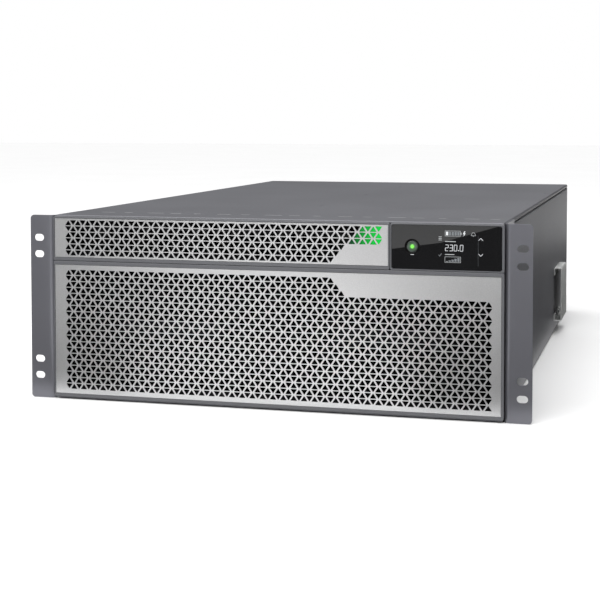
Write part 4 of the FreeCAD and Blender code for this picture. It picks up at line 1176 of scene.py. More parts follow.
menu = [bar(157.8, 160.6, height, height + 0.55) for height in (161.5, 162.9, 164.3)]
battery_case = stroke([(163.6, 165.4), (177.3, 165.4), (177.3, 170.0), (163.6, 170.0)], 0.3, closed=True)
battery_tip = bar(177.6, 178.3, 166.7, 168.7)
charge = [bar(164.4 + step * 2.55, 166.4 + step * 2.55, 166.1, 169.3) for step in range(5)]
turn = np.linspace(0, math.pi, 13)
dome = np.stack([188.9 - 1.45 * np.cos(turn), 167.5 + 1.4 * np.sin(turn)], axis=-1)
bell = stroke(np.concatenate([[(186.9, 166.2)], dome, [(190.9, 166.2)]]), 0.3, closed=True)
bolt = [(180.9, 169.9), (179.5, 167.3), (180.6, 167.3), (180.1, 165.3), (182.1, 168.1), (181.0, 168.1),
        (181.8, 169.9)]
load_case = stroke([(163.5, 141.9), (177.6, 141.9), (177.6, 146.9), (163.5, 146.9)], 0.3, closed=True)
load = [bar(164.3 + step * 2.6, 166.3 + step * 2.6, 142.6, 142.9 + step * 0.8) for step in range(5)]
tick = stroke([(157.9, 148.4), (158.8, 147.3), (160.5, 149.7)], 0.5)
small_lines = [bar(163.6, 173.2, 160.2, 160.9), bar(163.6, 172.0, 148.6, 149.3)]
bright = [charge[0], filled(bolt), *seven_segments("230.0", 163.8, 152.2, 2.55, 5.3),
          chevron(195.5, 162.0, 163.9), chevron(195.5, 150.0, 148.1), bar(132.4, 135.5, 147.9, 148.3)]
clapper = bar(188.5, 189.3, 165.4, 165.8)
soft = [*menu, *small_lines, battery_case, battery_tip, bell, clapper, load_case, load[0]]
piece("lit_symbols", bright, segment_white, "chassis")
piece("soft_symbols", soft, segment_soft, "chassis")
divider = bar(193.15, 193.25, 139.0, 166.0)
piece("dim_symbols", [*charge[1:], *load[1:], tick, divider], segment_dim, "chassis")

# %% [markdown]
# ## The power button
# A collar, a dished cap and a green light pipe share one axis. Each is a turned profile, the way a lathe
# or a round tool would give it. The cap and its light move together.

# %% The power button
collar_profile = [(6.9, -362.98), (6.62, -363.0), (6.1, -362.95), (5.5, -362.7), (5.3, -362.4), (5.3, -359.0),
                  (6.9, -359.0)]
piece("collar", [turned(collar_profile, BUTTON, ends="join", count=72)], ring_black, "chassis",
      ["button_ring"], smooth=50)
dish = [(2.02, -355.1), (5.0, -355.1), (5.0, -362.2), (4.85, -362.5), (4.5, -362.66), (3.6, -362.6),
        (2.6, -362.45), (2.02, -362.4)]
piece("button_cap", [turned(dish, BUTTON, ends="join", count=72)], button_glow, "power_key", ["power_button"],
      smooth=50)
light_profile = [(2.0, -355.1), (2.0, -362.3), (1.7, -362.6), (1.1, -362.75), (0.4, -362.8)]
piece("light_lens", [turned(light_profile, BUTTON, count=40)], light_green, "power_key",
      ["button_light_pipe"])


# %% [markdown]
# # Rack ears
# Each ear is one strip of 2 mm steel, folded at a right angle. The long side is screwed to the case, and
# the short side carries four slots for the rack's screws. The flat pattern is measured along the
# outside of the bend, then carried round it: straight, a quarter circle, straight.

# %% Fold a flat pattern
def fold(turns, gauge):
    """Gives the two faces of a sheet whose outside follows a path.

    The path starts at turns["start"] with a heading in degrees and goes through (length, radius, angle)
    steps. A step with no radius is straight, and its far face lies gauge to the left for a side of 1, to
    the right for -1. A bend's far face lies gauge inside its radius.
    """
    stations = []
    here, heading, along = np.array(turns["start"], dtype=float), math.radians(turns["heading"]), 0.0
    for length, radius, angle in turns["steps"]:
        stations.append((along, here.copy(), heading, length, radius, math.radians(angle)))
        if radius:
            swing = math.radians(angle)
            sense = math.copysign(1.0, swing)
            centre = here + radius * sense * np.array([-math.sin(heading), math.cos(heading)])
            heading += swing
            here = centre - radius * sense * np.array([-math.sin(heading), math.cos(heading)])
        else:
            here = here + length * np.array([math.cos(heading), math.sin(heading)])
        along += length

    def carry(flat, depth):
        spots = np.zeros((len(flat), 2))
        for start, corner, direction, length, radius, angle in stations:
            last = start == stations[-1][0]
            here_now = (flat[:, 0] >= start - 1e-6) & ((flat[:, 0] <= start + length + 1e-6) | last)
            share = flat[here_now, 0] - start
            if radius:
                sense = math.copysign(1.0, angle)
                middle = corner + radius * sense * np.array([-math.sin(direction), math.cos(direction)])
                now = direction + share / length * angle
                reach = (radius - depth) * sense
                spots[here_now] = middle - reach * np.stack([-np.sin(now), np.cos(now)], axis=-1)
            else:
                inward = np.array([-math.sin(direction), math.cos(direction)]) * turns["side"]
                straight = np.array([math.cos(direction), math.sin(direction)])
                spots[here_now] = corner + share[:, None] * straight + inward * depth
        return np.column_stack([spots, flat[:, 1]])

    return (lambda flat: carry(flat, 0.0)), (lambda flat: carry(flat, gauge))


# %% [markdown]
# ## The ears themselves
# The flat pattern gets its slots and screw holes before it is folded. Crease lines across the bend let
# it follow the curve. The left ear is the right one mirrored.

# %% Ears
CASE_FRONT = -360.7
EAR_GAUGE, EAR_BEND, EAR_FACE, EAR_LEG, EAR_HEIGHT = 2.0, 5.6, 25.3, 60, 177
SLOT_HEIGHTS = (-66.675, -50.8, 50.8, 66.675)
EAR_FLAT = EAR_FACE - EAR_BEND
bend_length = EAR_BEND * math.pi / 2
ear_path = {"start": (241.3, CASE_FRONT), "heading": 180, "side": -1,
            "steps": [(EAR_FLAT, 0, 0), (bend_length, EAR_BEND, -90), (EAR_LEG - EAR_BEND, 0, 0)]}
ear_end = EAR_FLAT + bend_length + EAR_LEG - EAR_BEND
screw_spots = [(along, up) for up in (20, 62, 115, 157) for along in (-338.7, -312.7)]
ear_outline = rounded_outline([(0, 0), (ear_end, 0), (ear_end, EAR_HEIGHT), (0, EAR_HEIGHT)],
                              [3.5, 2.0, 2.0, 3.5], 6)
ear_slots = [stadium((8.75, EAR_HEIGHT / 2 + reach), 10.3, 6.8) for reach in SLOT_HEIGHTS]
ear_holes = [circle((EAR_FLAT + bend_length + along - CASE_FRONT - EAR_BEND, up), 3.8, 24)
             for along, up in screw_spots]
bend_lines = [((EAR_FLAT + bend_length * share, -2), (EAR_FLAT + bend_length * share, EAR_HEIGHT + 2))
              for share in np.linspace(0, 1, 7)]
near, far = fold(ear_path, EAR_GAUGE)
ear_points, ear_faces = punched([ear_outline, *ear_slots, *ear_holes], near, far, bend_lines)
for word, side in (("right", 1), ("left", -1)):
    piece(word + "_ear", [(ear_points * (side, 1, 1), ear_faces)], ear_paint, "chassis", [word + "_rack_ear"],
          edge=0.25)


# %% [markdown]
# ## Screws and rivets
# A pressed screw head is a low dome with a cross stamped into it. The head is a loft from the seat to the
# rim and over the dome to a cross-shaped loop, which then goes down into the recess. A rivet has only
# the dome and the dimple that its mandrel leaves.

# %% Heads
def cross(reach, half_width, count=32):
    """A cross: at each angle, the further of two bars' borders seen from the middle."""
    angles = np.arange(count) * 2 * math.pi / count + 1e-4
    lengths = np.maximum(np.abs([np.cos(angles), np.sin(angles)]), 1e-9)
    bars = [np.minimum(wide / lengths[0], tall / lengths[1])
            for wide, tall in ((reach, half_width), (half_width, reach))]
    return np.maximum(*bars)[:, None] * np.stack([np.cos(angles), np.sin(angles)], axis=-1)


def head(centre, seat, sense, radius, height, lay, recess=True, shank=None):
    """A screw or rivet head that stands on seat and points along sense."""
    rows = []
    for share, lift in ((0.96, 0.0), (1.0, 0.12), (1.0, 0.45), (0.9, 0.75), (0.74, 0.92), (0.56, 1.0)):
        rows.append((circle((0, 0), radius * share, 32), height * lift))
    if recess:
        rows += [(cross(radius * 0.5, radius * 0.13), height),
                 (cross(radius * 0.44, radius * 0.1), height * 0.35)]
    else:
        rows += [(circle((0, 0), radius * 0.3, 32), height),
                 (circle((0, 0), radius * 0.22, 32), height * 0.6)]
    if shank:
        reach, depth = shank
        rows = [(circle((0, 0), reach, 32), -depth), (circle((0, 0), reach, 32), 0.0)] + rows
    return loft([lay(np.asarray(centre) + shape, seat + sense * lift) for shape, lift in rows])


side_heads = []
for side in (-1, 1):
    side_heads += [head(spot, side * 216.4, side, 3.6, 1.45, at_side, shank=(1.9, 4.0))
                   for spot in screw_spots]
    side_heads += [head(spot, side * 217.5, side, 2.8, 1.2, at_side, recess=False, shank=(1.5, 2.9))
                   for spot in [(along, up) for along in (165.3, 206.3) for up in (21.6, 76.6)]]
piece("side_heads", side_heads, zinc_screw, "chassis", ["side_fixings"])
cover_spots = [(0, -172.7), (0, 36.3), (0, 245.3), (0, 334.3)]
cover_spots += [(side * 208, along) for side in (-1, 1) for along in (-92.7, 120, 320)]
cover_heads = [head(spot, 177.45, 1, 2.9, 0.33, at_height, shank=(1.4, 4.0)) for spot in cover_spots]
piece("cover_heads", cover_heads, case_paint, "chassis", ["cover_screws"])

# %% [markdown]
# # The case
# The cover is a shallow pan whose sides turn down over the tray. Brake bends have a radius near the
# sheet's own gauge, and light catches on them, so both shells are lofts of one rounded section along the
# machine. The cover's front edge is rolled over, which is the bright line at the front.

# %% Cover
pan = [(-216, 173.4), (-214.5, 173.4), (-214.5, 176.0), (214.5, 176.0), (214.5, 173.4), (216, 173.4),
       (216, 177.5), (-216, 177.5)]
pan_section = rounded_outline(pan, [0.3, 0.3, 0.6, 0.6, 0.3, 0.3, 1.9, 1.9], 6)
roll, cover_top = 1.35, 177.5
turn = np.linspace(0, math.pi / 2, 7)
stations = list(zip(CASE_FRONT + roll * (1 - np.cos(turn)), roll * (1 - np.sin(turn))))
stations += [(355.9, 0.0), (356.2, 0.1), (356.3, 0.35)]
pan_loops = []
for depth, drop in stations:
    section = pan_section.copy()
    section[:, 1] = np.minimum(section[:, 1], cover_top - drop)
    pan_loops.append(at_depth(section, depth))
apron = slab(rounded_rectangle(-201.5, 201.5, 169.5, 176.2, 0.6), -360.66, -359.2, 0.2)
rear_lip = slab(rounded_rectangle(-214.4, 214.4, 173.4, 176.2, 0.4), 356.25, 354.8, 0.2)
piece("cover_pan", [loft(pan_loops), rear_lip], case_paint, "chassis", ["top_cover"])
# The apron behind the upper bezel is in painted shade, so that nothing grey shows through the top holes.
piece("cover_apron", [apron], painted_shade_black, "chassis")
marks = []
for index, start in enumerate(np.arange(-186, 200, 24.0)):
    length = (14, 9, 17, 11, 7)[index % 5]
    shape = rounded_rectangle(start, start + length, -318.4, -316.6, 0.8)
    marks.append(slab(shape, 177.48, 177.56, lay=at_height))
mark_paint = powder_coat("pale marks", (0.42, 0.42, 0.43), roughness=0.5)
piece("cover_marks", marks, mark_paint, "chassis")

# %% [markdown]
# ## Tray
# Floor and sides are one folded sheet with a lip along each top edge, so one rounded section drawn along
# the machine makes it.

# %% Tray
tray = [(-216, 1.0), (216, 1.0), (216, 172.7), (202, 172.7), (202, 171.2), (214.5, 171.2), (214.5, 2.5),
        (-214.5, 2.5), (-214.5, 171.2), (-202, 171.2), (-202, 172.7), (-216, 172.7)]
bends = [2.2, 2.2, 2.2, 0.3, 0.3, 0.7, 0.7, 0.7, 0.7, 0.3, 0.3, 2.2]
tray_section = rounded_outline(tray, bends, 5)
piece("tray", [slab(tray_section, -360.4, 354.8, 0.2)], case_paint, "chassis", ["chassis_tray"])


# %% [markdown]
# ## Brackets
# The bright channels near the back take the rack's rear rails. Each is bent from zinc-plated strip: a
# face, two walls and two lips riveted to the case.

# %% Brackets
def channel(side):
    face, wall, low, high, gauge = 226.0, 216.0, 15.6, 82.6, 1.5
    section = [(wall, low), (face, low), (face, high), (wall, high), (wall, high - 9),
               (wall + gauge, high - 9), (wall + gauge, high - gauge), (face - gauge, high - gauge),
               (face - gauge, low + gauge), (wall + gauge, low + gauge), (wall + gauge, low + 9),
               (wall, low + 9)]
    shape = rounded_outline(section, [1.2, 2.4, 2.4, 1.2, 0.4, 0.4, 0.5, 0.9, 0.9, 0.5, 0.4, 0.4], 5)
    points, faces = slab(shape, 149.3, 222.3, 0.25)
    return points * (side, 1, 1), faces


for word, side in (("right", 1), ("left", -1)):
    piece(word + "_channel", [channel(side)], zinc_bright, "chassis", [word + "_side_bracket"])

# %% [markdown]
# # The rear panel
# The real panel is one flat steel sheet, punched on a turret press and bolted to the tray. It is filled as
# a flat pattern, because booleans for a hundred openings would leave slivers. Short slots beside the
# fans, and above and below the first outlets, let air through.

# %% Punch the panel
REAR = 356.3
FANS = (-162, -74, 14)
FAN_HEIGHT, FAN_BORE, FAN_SCREW = 122, 38, 35.75
RESET, EARTH = (70, 84), (203, 100)
VENT = (8.0, 2.6)


def grid(columns, rows):
    return [(across, up) for across in columns for up in rows]


fan_screws = [(middle + across, FAN_HEIGHT + up) for middle in FANS
              for across in (-FAN_SCREW, FAN_SCREW) for up in (-FAN_SCREW, FAN_SCREW)]
windows = {"first outlets": (-204, -84, 22, 56), "second outlets": (-76, 44, 22, 56),
           "network card": (108, 196, 132, 158), "data ports": (118, 188, 96, 118),
           "terminals": (112, 196, 24, 64), "breaker": (54, 92, 22, 66), "battery socket": (136, 186, 80, 92)}
panel_loops = [rounded_rectangle(-216, 216, 1, 172.7, 1.0)]
panel_loops += [rounded_rectangle(*window, 1.2) for window in windows.values()]
panel_loops += [circle((middle, FAN_HEIGHT), FAN_BORE, 72) for middle in FANS]
panel_loops += [circle(spot, 1.9, 16) for spot in fan_screws]
panel_loops += [circle(RESET, 5.2, 32), circle(EARTH, 3.1, 24)]
panel_loops += [circle(spot, 1.6, 16) for spot in grid((-208, 208), (10, 166))]
panel_loops += [stadium(spot, *VENT) for spot in grid(np.arange(61, 100, 10.6), np.arange(101, 165, 5.4))]
panel_loops += [stadium(spot, *VENT) for spot in grid(np.arange(-192, -131, 12), (66, 71.4, 9, 14.4))]
piece("rear_sheet", [upright(panel_loops, REAR, REAR - 1.5)], case_paint, "chassis", ["rear_panel"],
      edge=0.15)

# %% [markdown]
# # Fans
# A finger guard is bent and spot-welded wire: four rings on a diagonal cross whose ends curl into eyes
# under the screws. A wire is a small circle swept along its path. Each fan has a moulded hub and seven
# twisted blades. A blade is a stack of thin curved sections from hub to tip, each set at its own angle.

# %% Wire guards
def wire(path, radius, closed=False, around=10):
    """Sweeps a circle along points in a plane across the machine's depth."""
    path = np.asarray(path, dtype=float)
    ahead = np.roll(path, -1, 0) - np.roll(path, 1, 0) if closed else np.gradient(path, axis=0)
    ahead /= np.linalg.norm(ahead, axis=1, keepdims=True)
    depth = np.array([0.0, 1.0, 0.0])
    aside = np.cross(ahead, depth)
    aside /= np.linalg.norm(aside, axis=1, keepdims=True)
    above = np.cross(ahead, aside)
    turn = np.arange(around) * 2 * math.pi / around
    ring = np.cos(turn)[None, :, None] * aside[:, None] + np.sin(turn)[None, :, None] * above[:, None]
    return loft(path[:, None] + radius * ring, "join" if closed else "cap")


guards = []
for middle in FANS:
    hub = np.array([middle, float(FAN_HEIGHT)])
    guards += [wire(at_depth(circle(hub, radius, 72), REAR + 1.05), 0.72, closed=True)
               for radius in (10, 19, 28, 37)]
    for turn in np.radians((45, 135, 225, 315)):
        aim = np.array([math.cos(turn), math.sin(turn)])
        corner = hub + aim * FAN_SCREW * math.sqrt(2)
        guards.append(wire(at_depth(hub + aim * np.linspace(8.0, 46.6, 24)[:, None], REAR + 0.85), 0.72))
        guards.append(wire(at_depth(circle(corner, 4.0, 32), REAR + 0.85), 0.72, closed=True))
piece("wire_guards", guards, wire_nickel, "chassis", ["fan_guards"])

# %% [markdown]
# ## Rotors
# Hub and blades are one moulding on the real fan. The hub is turned, and each blade is lofted through
# its sections, which twist and thin out towards the tip.

# %% Rotors
def blade(centre, turn, inner=14.0, outer=36.2, stations=12):
    """One blade: sections of a thin cambered foil, laid round circles of growing radius."""
    radii = np.linspace(inner, outer, stations)[:, None]
    share = (radii - inner) / (outer - inner)
    along = np.concatenate([np.linspace(0, 1, 12), np.linspace(1, 0, 12)[1:-1]])
    face = np.concatenate([np.ones(12), -np.ones(10)])
    thick = (0.9 - 0.45 * share) * np.sqrt(np.clip(along * (1 - along), 0, 1)) * face
    sweep = math.radians(46) - math.radians(6) * share
    angle = turn + sweep * (along - 0.5) + math.radians(14) * share ** 2
    rise = (13.5 - 3.0 * share) * (along - 0.5) + 2.2 * np.sin(math.pi * along)
    across, up = centre[0] + radii * np.cos(angle), centre[1] + radii * np.sin(angle)
    return loft(np.stack([across, 341.6 + rise + thick * 1.6, up], axis=-1))


BLADES = 7
hub_profile = [(3.0, 333.6), (14.2, 333.6), (14.8, 334.4), (15.0, 346.0), (14.6, 349.6), (13.4, 350.8),
               (11.0, 351.4), (10.6, 351.0), (4.0, 351.0), (3.4, 350.2)]
for name, middle in zip(("left", "middle", "right"), FANS):
    centre = (middle, FAN_HEIGHT)
    shells = [turned(hub_profile, centre, count=64)]
    shells += [blade(centre, index * 2 * math.pi / BLADES) for index in range(BLADES)]
    piece(name + "_rotor_moulding", shells, fan_black, name + "_rotor", [name + "_fan_rotor"])

# %% [markdown]
# # Sockets, breakers and covers
# Each outlet strip is one black moulding with four recesses. A keyed core stands in every recess and holds
# three plated contacts. Two lower corners of each recess are cut off, so that a plug fits only one way.

# %% Outlet strips
def keyed(across, up, width, height, cut):
    """A socket's outline: a rectangle whose two lower corners are cut."""
    half, tall = width / 2, height / 2
    corners = np.array([(half, tall), (-half, tall), (-half, cut - tall), (cut - half, -tall),
                        (half - cut, -tall), (half, cut - tall)])
    return rounded_outline(corners + (across, up), [1.2, 1.2, 0.8, 0.8, 0.8, 0.8], 3)


contacts = []
for name, start in (("first_outlets", -205.5), ("second_outlets", -77.5)):
    flange = rounded_rectangle(start, start + 123, 20.5, 57.5, 2.5)
    body = rounded_rectangle(start + 1.8, start + 121.2, 22.3, 55.7, 1.0)
    spots = [(start + 16.5 + 30 * k, 39.0) for k in range(4)]
    wells = [keyed(*spot, 24.8, 16.8, 5.0) for spot in spots]
    shells = [upright([flange, *wells], REAR + 2.0, REAR + 0.1), upright([body, *wells], REAR + 0.1, 340.5),
              slab(body, 340.5, 334.4, 0.4)]
    for across, up in spots:
        slots = [rounded_rectangle(across + aside - 0.9, across + aside + 0.9,
                                   up + lift - 2.1, up + lift + 2.1, 0.2, 1)
                 for aside, lift in ((-5, -0.6), (0, 1.2), (5, -0.6))]
        shells.append(upright([keyed(across, up, 16.4, 9.0, 2.4), *slots], REAR + 0.6, 340.5))
        contacts += [slab(inset(slot, 0.15), REAR - 3.0, 340.6) for slot in slots]
    piece(name.replace("_", "_strip_"), shells, outlet_black, "chassis", [name], edge=0.2)
piece("outlet_contacts", contacts, wire_nickel, "chassis")

# %% [markdown]
# ## Battery socket and data ports
# Connectors are black blocks with wells and a tongue or pins inside. Punching the wells through a front
# slab and closing it with a back slab gives real depth.

# %% Battery socket and data ports
socket_wells = [rounded_rectangle(left, left + 18, 82, 90, 1.4) for left in (140, 164)]
socket = [upright([rounded_rectangle(136.2, 185.8, 80.2, 91.8, 1.2), *socket_wells], REAR + 2.0, 344.4),
          slab(rounded_rectangle(136.4, 185.6, 80.4, 91.6, 1.0), 344.4, 336.4)]
socket += [slab(rounded_rectangle(left, left + 3.2, 83.4, 88.6, 0.8), REAR - 1.0, 344.4, 0.3)
           for left in (143, 153, 167, 177)]
piece("battery_connector", socket, outlet_black, "chassis", ["battery_socket"], edge=0.2)
port_wells = [rounded_rectangle(123, 132, 102, 110.5, 0.8), rounded_rectangle(138, 157, 102, 112, 1.6),
              rounded_rectangle(163, 183, 102, 110, 2.4)]
ports = [upright([rounded_rectangle(118.2, 187.8, 96.2, 117.8, 1.0), *port_wells], REAR + 0.6, 347.5),
         slab(rounded_rectangle(118.4, 187.6, 96.4, 117.6, 1.0), 347.5, 342.4),
         slab(rounded_rectangle(125.2, 129.8, 104.2, 107.2, 0.3), REAR - 1.2, 347.5, 0.2),
         slab(rounded_rectangle(140.5, 154.5, 108.4, 110.6, 0.3), REAR - 1.6, 347.5, 0.2),
         slab(rounded_rectangle(165.5, 180.5, 104.4, 107.6, 1.0), REAR - 0.8, 347.5, 0.2)]
piece("data_ports", ports, outlet_black, "chassis", ["comm_ports"], edge=0.15)

# %% [markdown]
# ## Breakers
# The input breaker is a thermoset block with a deep slot for its rocker. The rocker's section is a round
# hub with a waisted tongue, so the finger finds its edge. A small thermal breaker beside the fans pops
# its button out when it trips.

# %% Breaker, rocker and reset button
nose = rounded_rectangle(54.2, 91.8, 22.2, 65.8, 1.5)
throat = rounded_rectangle(59.0, 87.0, 34.0, 54.0, 1.0)
breaker = [upright([nose, throat], REAR + 3.0, 347.4), slab(nose, 347.4, 296.4, 0.5)]
breaker += [slab(rounded_rectangle(62 + 6 * k, 64 + 6 * k, 57.5, 62.5, 0.8), REAR + 3.0, REAR + 2.6)
            for k in range(5)]
piece("breaker_block", breaker, outlet_black, "chassis", ["input_breaker"], edge=0.25)
section = rounded_outline([(349.1, 41.2), (353.5, 39.8), (358.2, 42.2), (362.6, 41.9), (362.6, 46.1),
                           (358.2, 45.8), (353.5, 48.2), (349.1, 46.8)],
                          [1.8, 2.6, 3.0, 0.9, 0.9, 3.0, 2.6, 1.8], 5)
piece("breaker_rocker", [slab(section, 59.8, 86.2, 0.5, at_side)], lever_black, "breaker_toggle",
      ["breaker_lever"])
nut = [(5.1, REAR - 25.8), (5.1, REAR + 0.05), (7.7, REAR + 0.05), (7.95, REAR + 0.4), (7.95, REAR + 1.2),
       (6.6, REAR + 1.95), (4.2, REAR + 1.95), (3.7, REAR + 1.5), (3.7, REAR - 25.8)]
piece("reset_collar", [turned(nut, RESET, ends="join", count=48)], outlet_black, "chassis",
      ["reset_breaker"])
cap = [(3.0, 354.1), (3.15, 354.4), (3.15, 359.2), (2.9, 359.9), (2.3, 360.3), (1.2, 360.45)]
piece("reset_cap", [turned(cap, RESET, count=40)], lever_black, "reset_key", ["reset_button"])

# %% [markdown]
# ## Terminal cover, earth stud and screws
# The hard-wired input hides below a small painted cover with two round knock-outs. The earth stud carries
# a real thread form: a saw-toothed profile turned about its axis, with a flat washer and a hexagon nut.

# %% Covers and fasteners
TAB_SPOTS = (110, 198)
rim = rounded_rectangle(104, 204, 14, 74, 2.0)
cover_shells = [loft([at_depth(rim, REAR + 0.1), at_depth(rim, REAR + 5.0),
                      at_depth(inset(rim, 0.35), REAR + 5.9), at_depth(inset(rim, 1.1), REAR + 6.35)])]
knock_out = [(12.4, REAR + 6.2), (12.4, REAR + 6.62), (11.9, REAR + 6.68), (11.4, REAR + 6.4),
             (10.9, REAR + 6.4), (10.5, REAR + 6.62), (9.9, REAR + 6.62), (9.9, REAR + 6.2)]
cover_shells += [turned(knock_out, (across, 44), count=64) for across in (130, 178)]
cover_shells += [slab(rounded_rectangle(across - 6, across + 6, 73.6, 82, 1.6), REAR + 0.05, REAR + 1.5, 0.2)
                 for across in TAB_SPOTS]
piece("terminal_lid", cover_shells, case_paint, "chassis", ["terminal_cover"], edge=0.2)
turns = np.arange(0, 13.6, 0.4)
thread = [(2.35, 348.4)]
thread += [(2.9 if k % 2 else 2.55, 348.6 + step) for k, step in enumerate(turns)]
thread += [(2.1, 362.25)]
spot = np.array(EARTH, dtype=float)
hexagon = circle(spot, 4.6, 6)
washer = [(5.3, REAR + 0.05), (5.3, REAR + 0.7), (3.0, REAR + 0.7), (3.0, REAR + 0.05)]
stud = [turned(thread, spot, count=24), turned(washer, spot, ends="join"),
        slab(hexagon, REAR + 0.7, REAR + 3.0, 0.3), turned([(5.2, 351.9), (5.2, 354.7)], spot)]
piece("earth_stud", stud, zinc_screw, "chassis", ["ground_stud"])
rear_heads = [head(fan_spot, REAR + 1.8, 1, 3.5, 1.95, at_depth) for fan_spot in fan_screws]
rear_heads += [head(corner, REAR + 0.02, 1, 2.95, 1.55, at_depth) for corner in grid((-208, 208), (10, 166))]
rear_heads += [head((across, 78), REAR + 1.5, 1, 2.95, 1.55, at_depth) for across in TAB_SPOTS]
piece("rear_heads", rear_heads, zinc_screw, "chassis", ["rear_screws"])

# %% [markdown]
# ## The network card
# The card slides on two rails and is held by two knurled screws. Its bracket is a plated plate with a data
# jack and two small lights. A knurl is a circle whose radius rises and falls between its teeth.

# %% Card, jack and knurled screws
jack_well = rounded_rectangle(124.5, 136.5, 137, 144, 0.4, 2)
jack_case = rounded_rectangle(122.2, 138.8, 135.2, 148.8, 0.6, 2)
bracket_loops = [rounded_rectangle(106, 198, 130, 160, 1.6), jack_case, circle((147, 139.5), 1.3, 20),
                 circle((152, 139.5), 1.3, 20)]
bracket_loops += [stadium((across, up), 7, 2.2) for across in (160, 170, 180) for up in (137, 142)]
piece("card_bracket", [upright(bracket_loops, REAR + 2.0, REAR + 0.3)], zinc_inner, "card", ["network_card"],
      edge=0.15)
card_sheet = [slab(rounded_rectangle(112, 192, 226.4, 355.0, 2.0), 136.0, 137.6, 0.1, at_height)]
piece("card_board", card_sheet, board_green, "card")
jack = [upright([jack_case, jack_well], REAR + 2.55, 344.4), slab(jack_case, 344.4, 338.4),
        slab(rounded_rectangle(128, 133, 137.2, 138.6, 0.2, 1), REAR + 2.0, 344.6)]
piece("card_jack", jack, outlet_black, "card", edge=0.1)
pins = [slab(rounded_rectangle(126.2 + 1.1 * k, 126.7 + 1.1 * k, 142.6, 143.6, 0.1, 1), REAR - 1.0, 344.6)
        for k in range(8)]
pins += [turned([(1.2, REAR + 0.4), (1.2, REAR + 1.7), (0.7, REAR + 2.0)], (across, 139.5), count=20)
         for across in (147, 152)]
piece("card_pins", pins, wire_nickel, "card")


def knurled(spot, near, far, radius, teeth=28):
    """A knob with rounded teeth, a chamfer at each end and a driver slot in its face."""
    angles = np.arange(teeth * 4) * 2 * math.pi / (teeth * 4)
    spoke = np.stack([np.cos(angles), np.sin(angles)], axis=-1)
    toothed = spoke * (radius - 0.12 + 0.12 * np.cos(angles * teeth))[:, None]
    rows = [(spoke * (radius - 0.5), near), (toothed, near + 0.35), (toothed, far - 0.4),
            (spoke * (radius - 0.55), far), (spoke * 1.3, far), (spoke * 1.1, far - 0.9)]
    return loft([at_depth(shape + spot, depth) for shape, depth in rows])


knobs = [knurled((across, 152), REAR + 2.05, REAR + 5.95, 3.38) for across in (113, 191)]
piece("card_knobs", knobs, zinc_screw, "card", ["card_thumbscrews"])

# %% [markdown]
# # Finishes for the solids that stay as they are
# The parts inside, seen through an opening or when a bezel is pulled, keep the frame's own solids. Most
# get the finish of their real material; the bulkhead, walls, shelf, supports and battery cases behind the
# plates get near-black painted shade instead, so that the holes look dark.

# %% Finish the solids that stay
KEPT = {
    # Entries in the near-black inner coat are painted shade, not the parts' own finish.
    "cover_supports": painted_shade_black, "front_bulkhead": painted_shade_black, "bezel_clips": grip_black_and_shade,
    "mid_shelf": painted_shade_black, "bay_walls": painted_shade_black, "lcd_panel": lcd_dark, "display_board": board_green,
    "left_battery_case": painted_shade_black, "right_battery_case": painted_shade_black,
    "left_battery_cells": cell_black, "right_battery_cells": cell_black,
    "left_battery_handle": grip_black_and_shade, "right_battery_handle": grip_black_and_shade, "bay_connectors": grip_black_and_shade,
    "main_power_board": board_green, "rectifier_heatsink": fin_metal, "inverter_heatsink": fin_metal,
    "capacitor_bank": sleeve_blue, "power_inductors": winding, "control_board": board_green,
    "charger_board": board_green, "card_cage": zinc_inner, "fan_frames": fan_black,
    "input_terminal_block": outlet_black,
}
for name, material in KEPT.items():
    finish_node(name, material)
print("kept solids:", len(KEPT))

# %% [markdown]
# # The floor and the cards
# The machine stands on a pale floor in a white studio. Black glass shows whatever is in front of it, so
# dark cards lie on the floor, seen only in reflections, and give the display its dark lower part. A black
# flag stands beside the machine and keeps its right side darker than its front.

# %% Floor
def floor_paint():
    material = bpy.data.materials.new("pale floor")
    material.use_nodes = True
    nodes, links = material.node_tree.nodes, material.node_tree.links
    nodes.clear()
    place = nodes.new("ShaderNodeTexCoord")
    place.label = "place on the floor"
    cloud = nodes.new("ShaderNodeTexNoise")
    cloud.label = "unevenness"
    tone = nodes.new("ShaderNodeValToRGB")
    tone.label = "pale tones"
    shader = nodes.new("ShaderNodeBsdfPrincipled")
    shader.label = "matt paint"
    output = nodes.new("ShaderNodeOutputMaterial")
    output.label = "surface"
    cloud.inputs["Scale"].default_value = 3.0
    tone.color_ramp.elements[0].color = (0.88, 0.88, 0.88, 1)
    tone.color_ramp.elements[1].color = (0.92, 0.92, 0.92, 1)
    shader.inputs["Roughness"].default_value = 0.9
    shader.inputs["Specular IOR Level"].default_value = 0.1
    links.new(place.outputs["Object"], cloud.inputs["Vector"])
    links.new(cloud.outputs["Fac"], tone.inputs["Fac"])
    links.new(tone.outputs["Color"], shader.inputs["Base Color"])
    links.new(shader.outputs["BSDF"], output.inputs["Surface"])
    for column, node in enumerate((place, cloud, tone, shader, output)):
        node.location = (column * 200, 0)
    return material


def flat_card(name, corners, material):
    mesh = bpy.data.meshes.new(name)
    mesh.from_pydata(corners, [], [tuple(range(len(corners)))])
    mesh.materials.append(material)
    made = bpy.data.objects.new(name, mesh)
    bpy.context.scene.collection.objects.link(made)
    return made


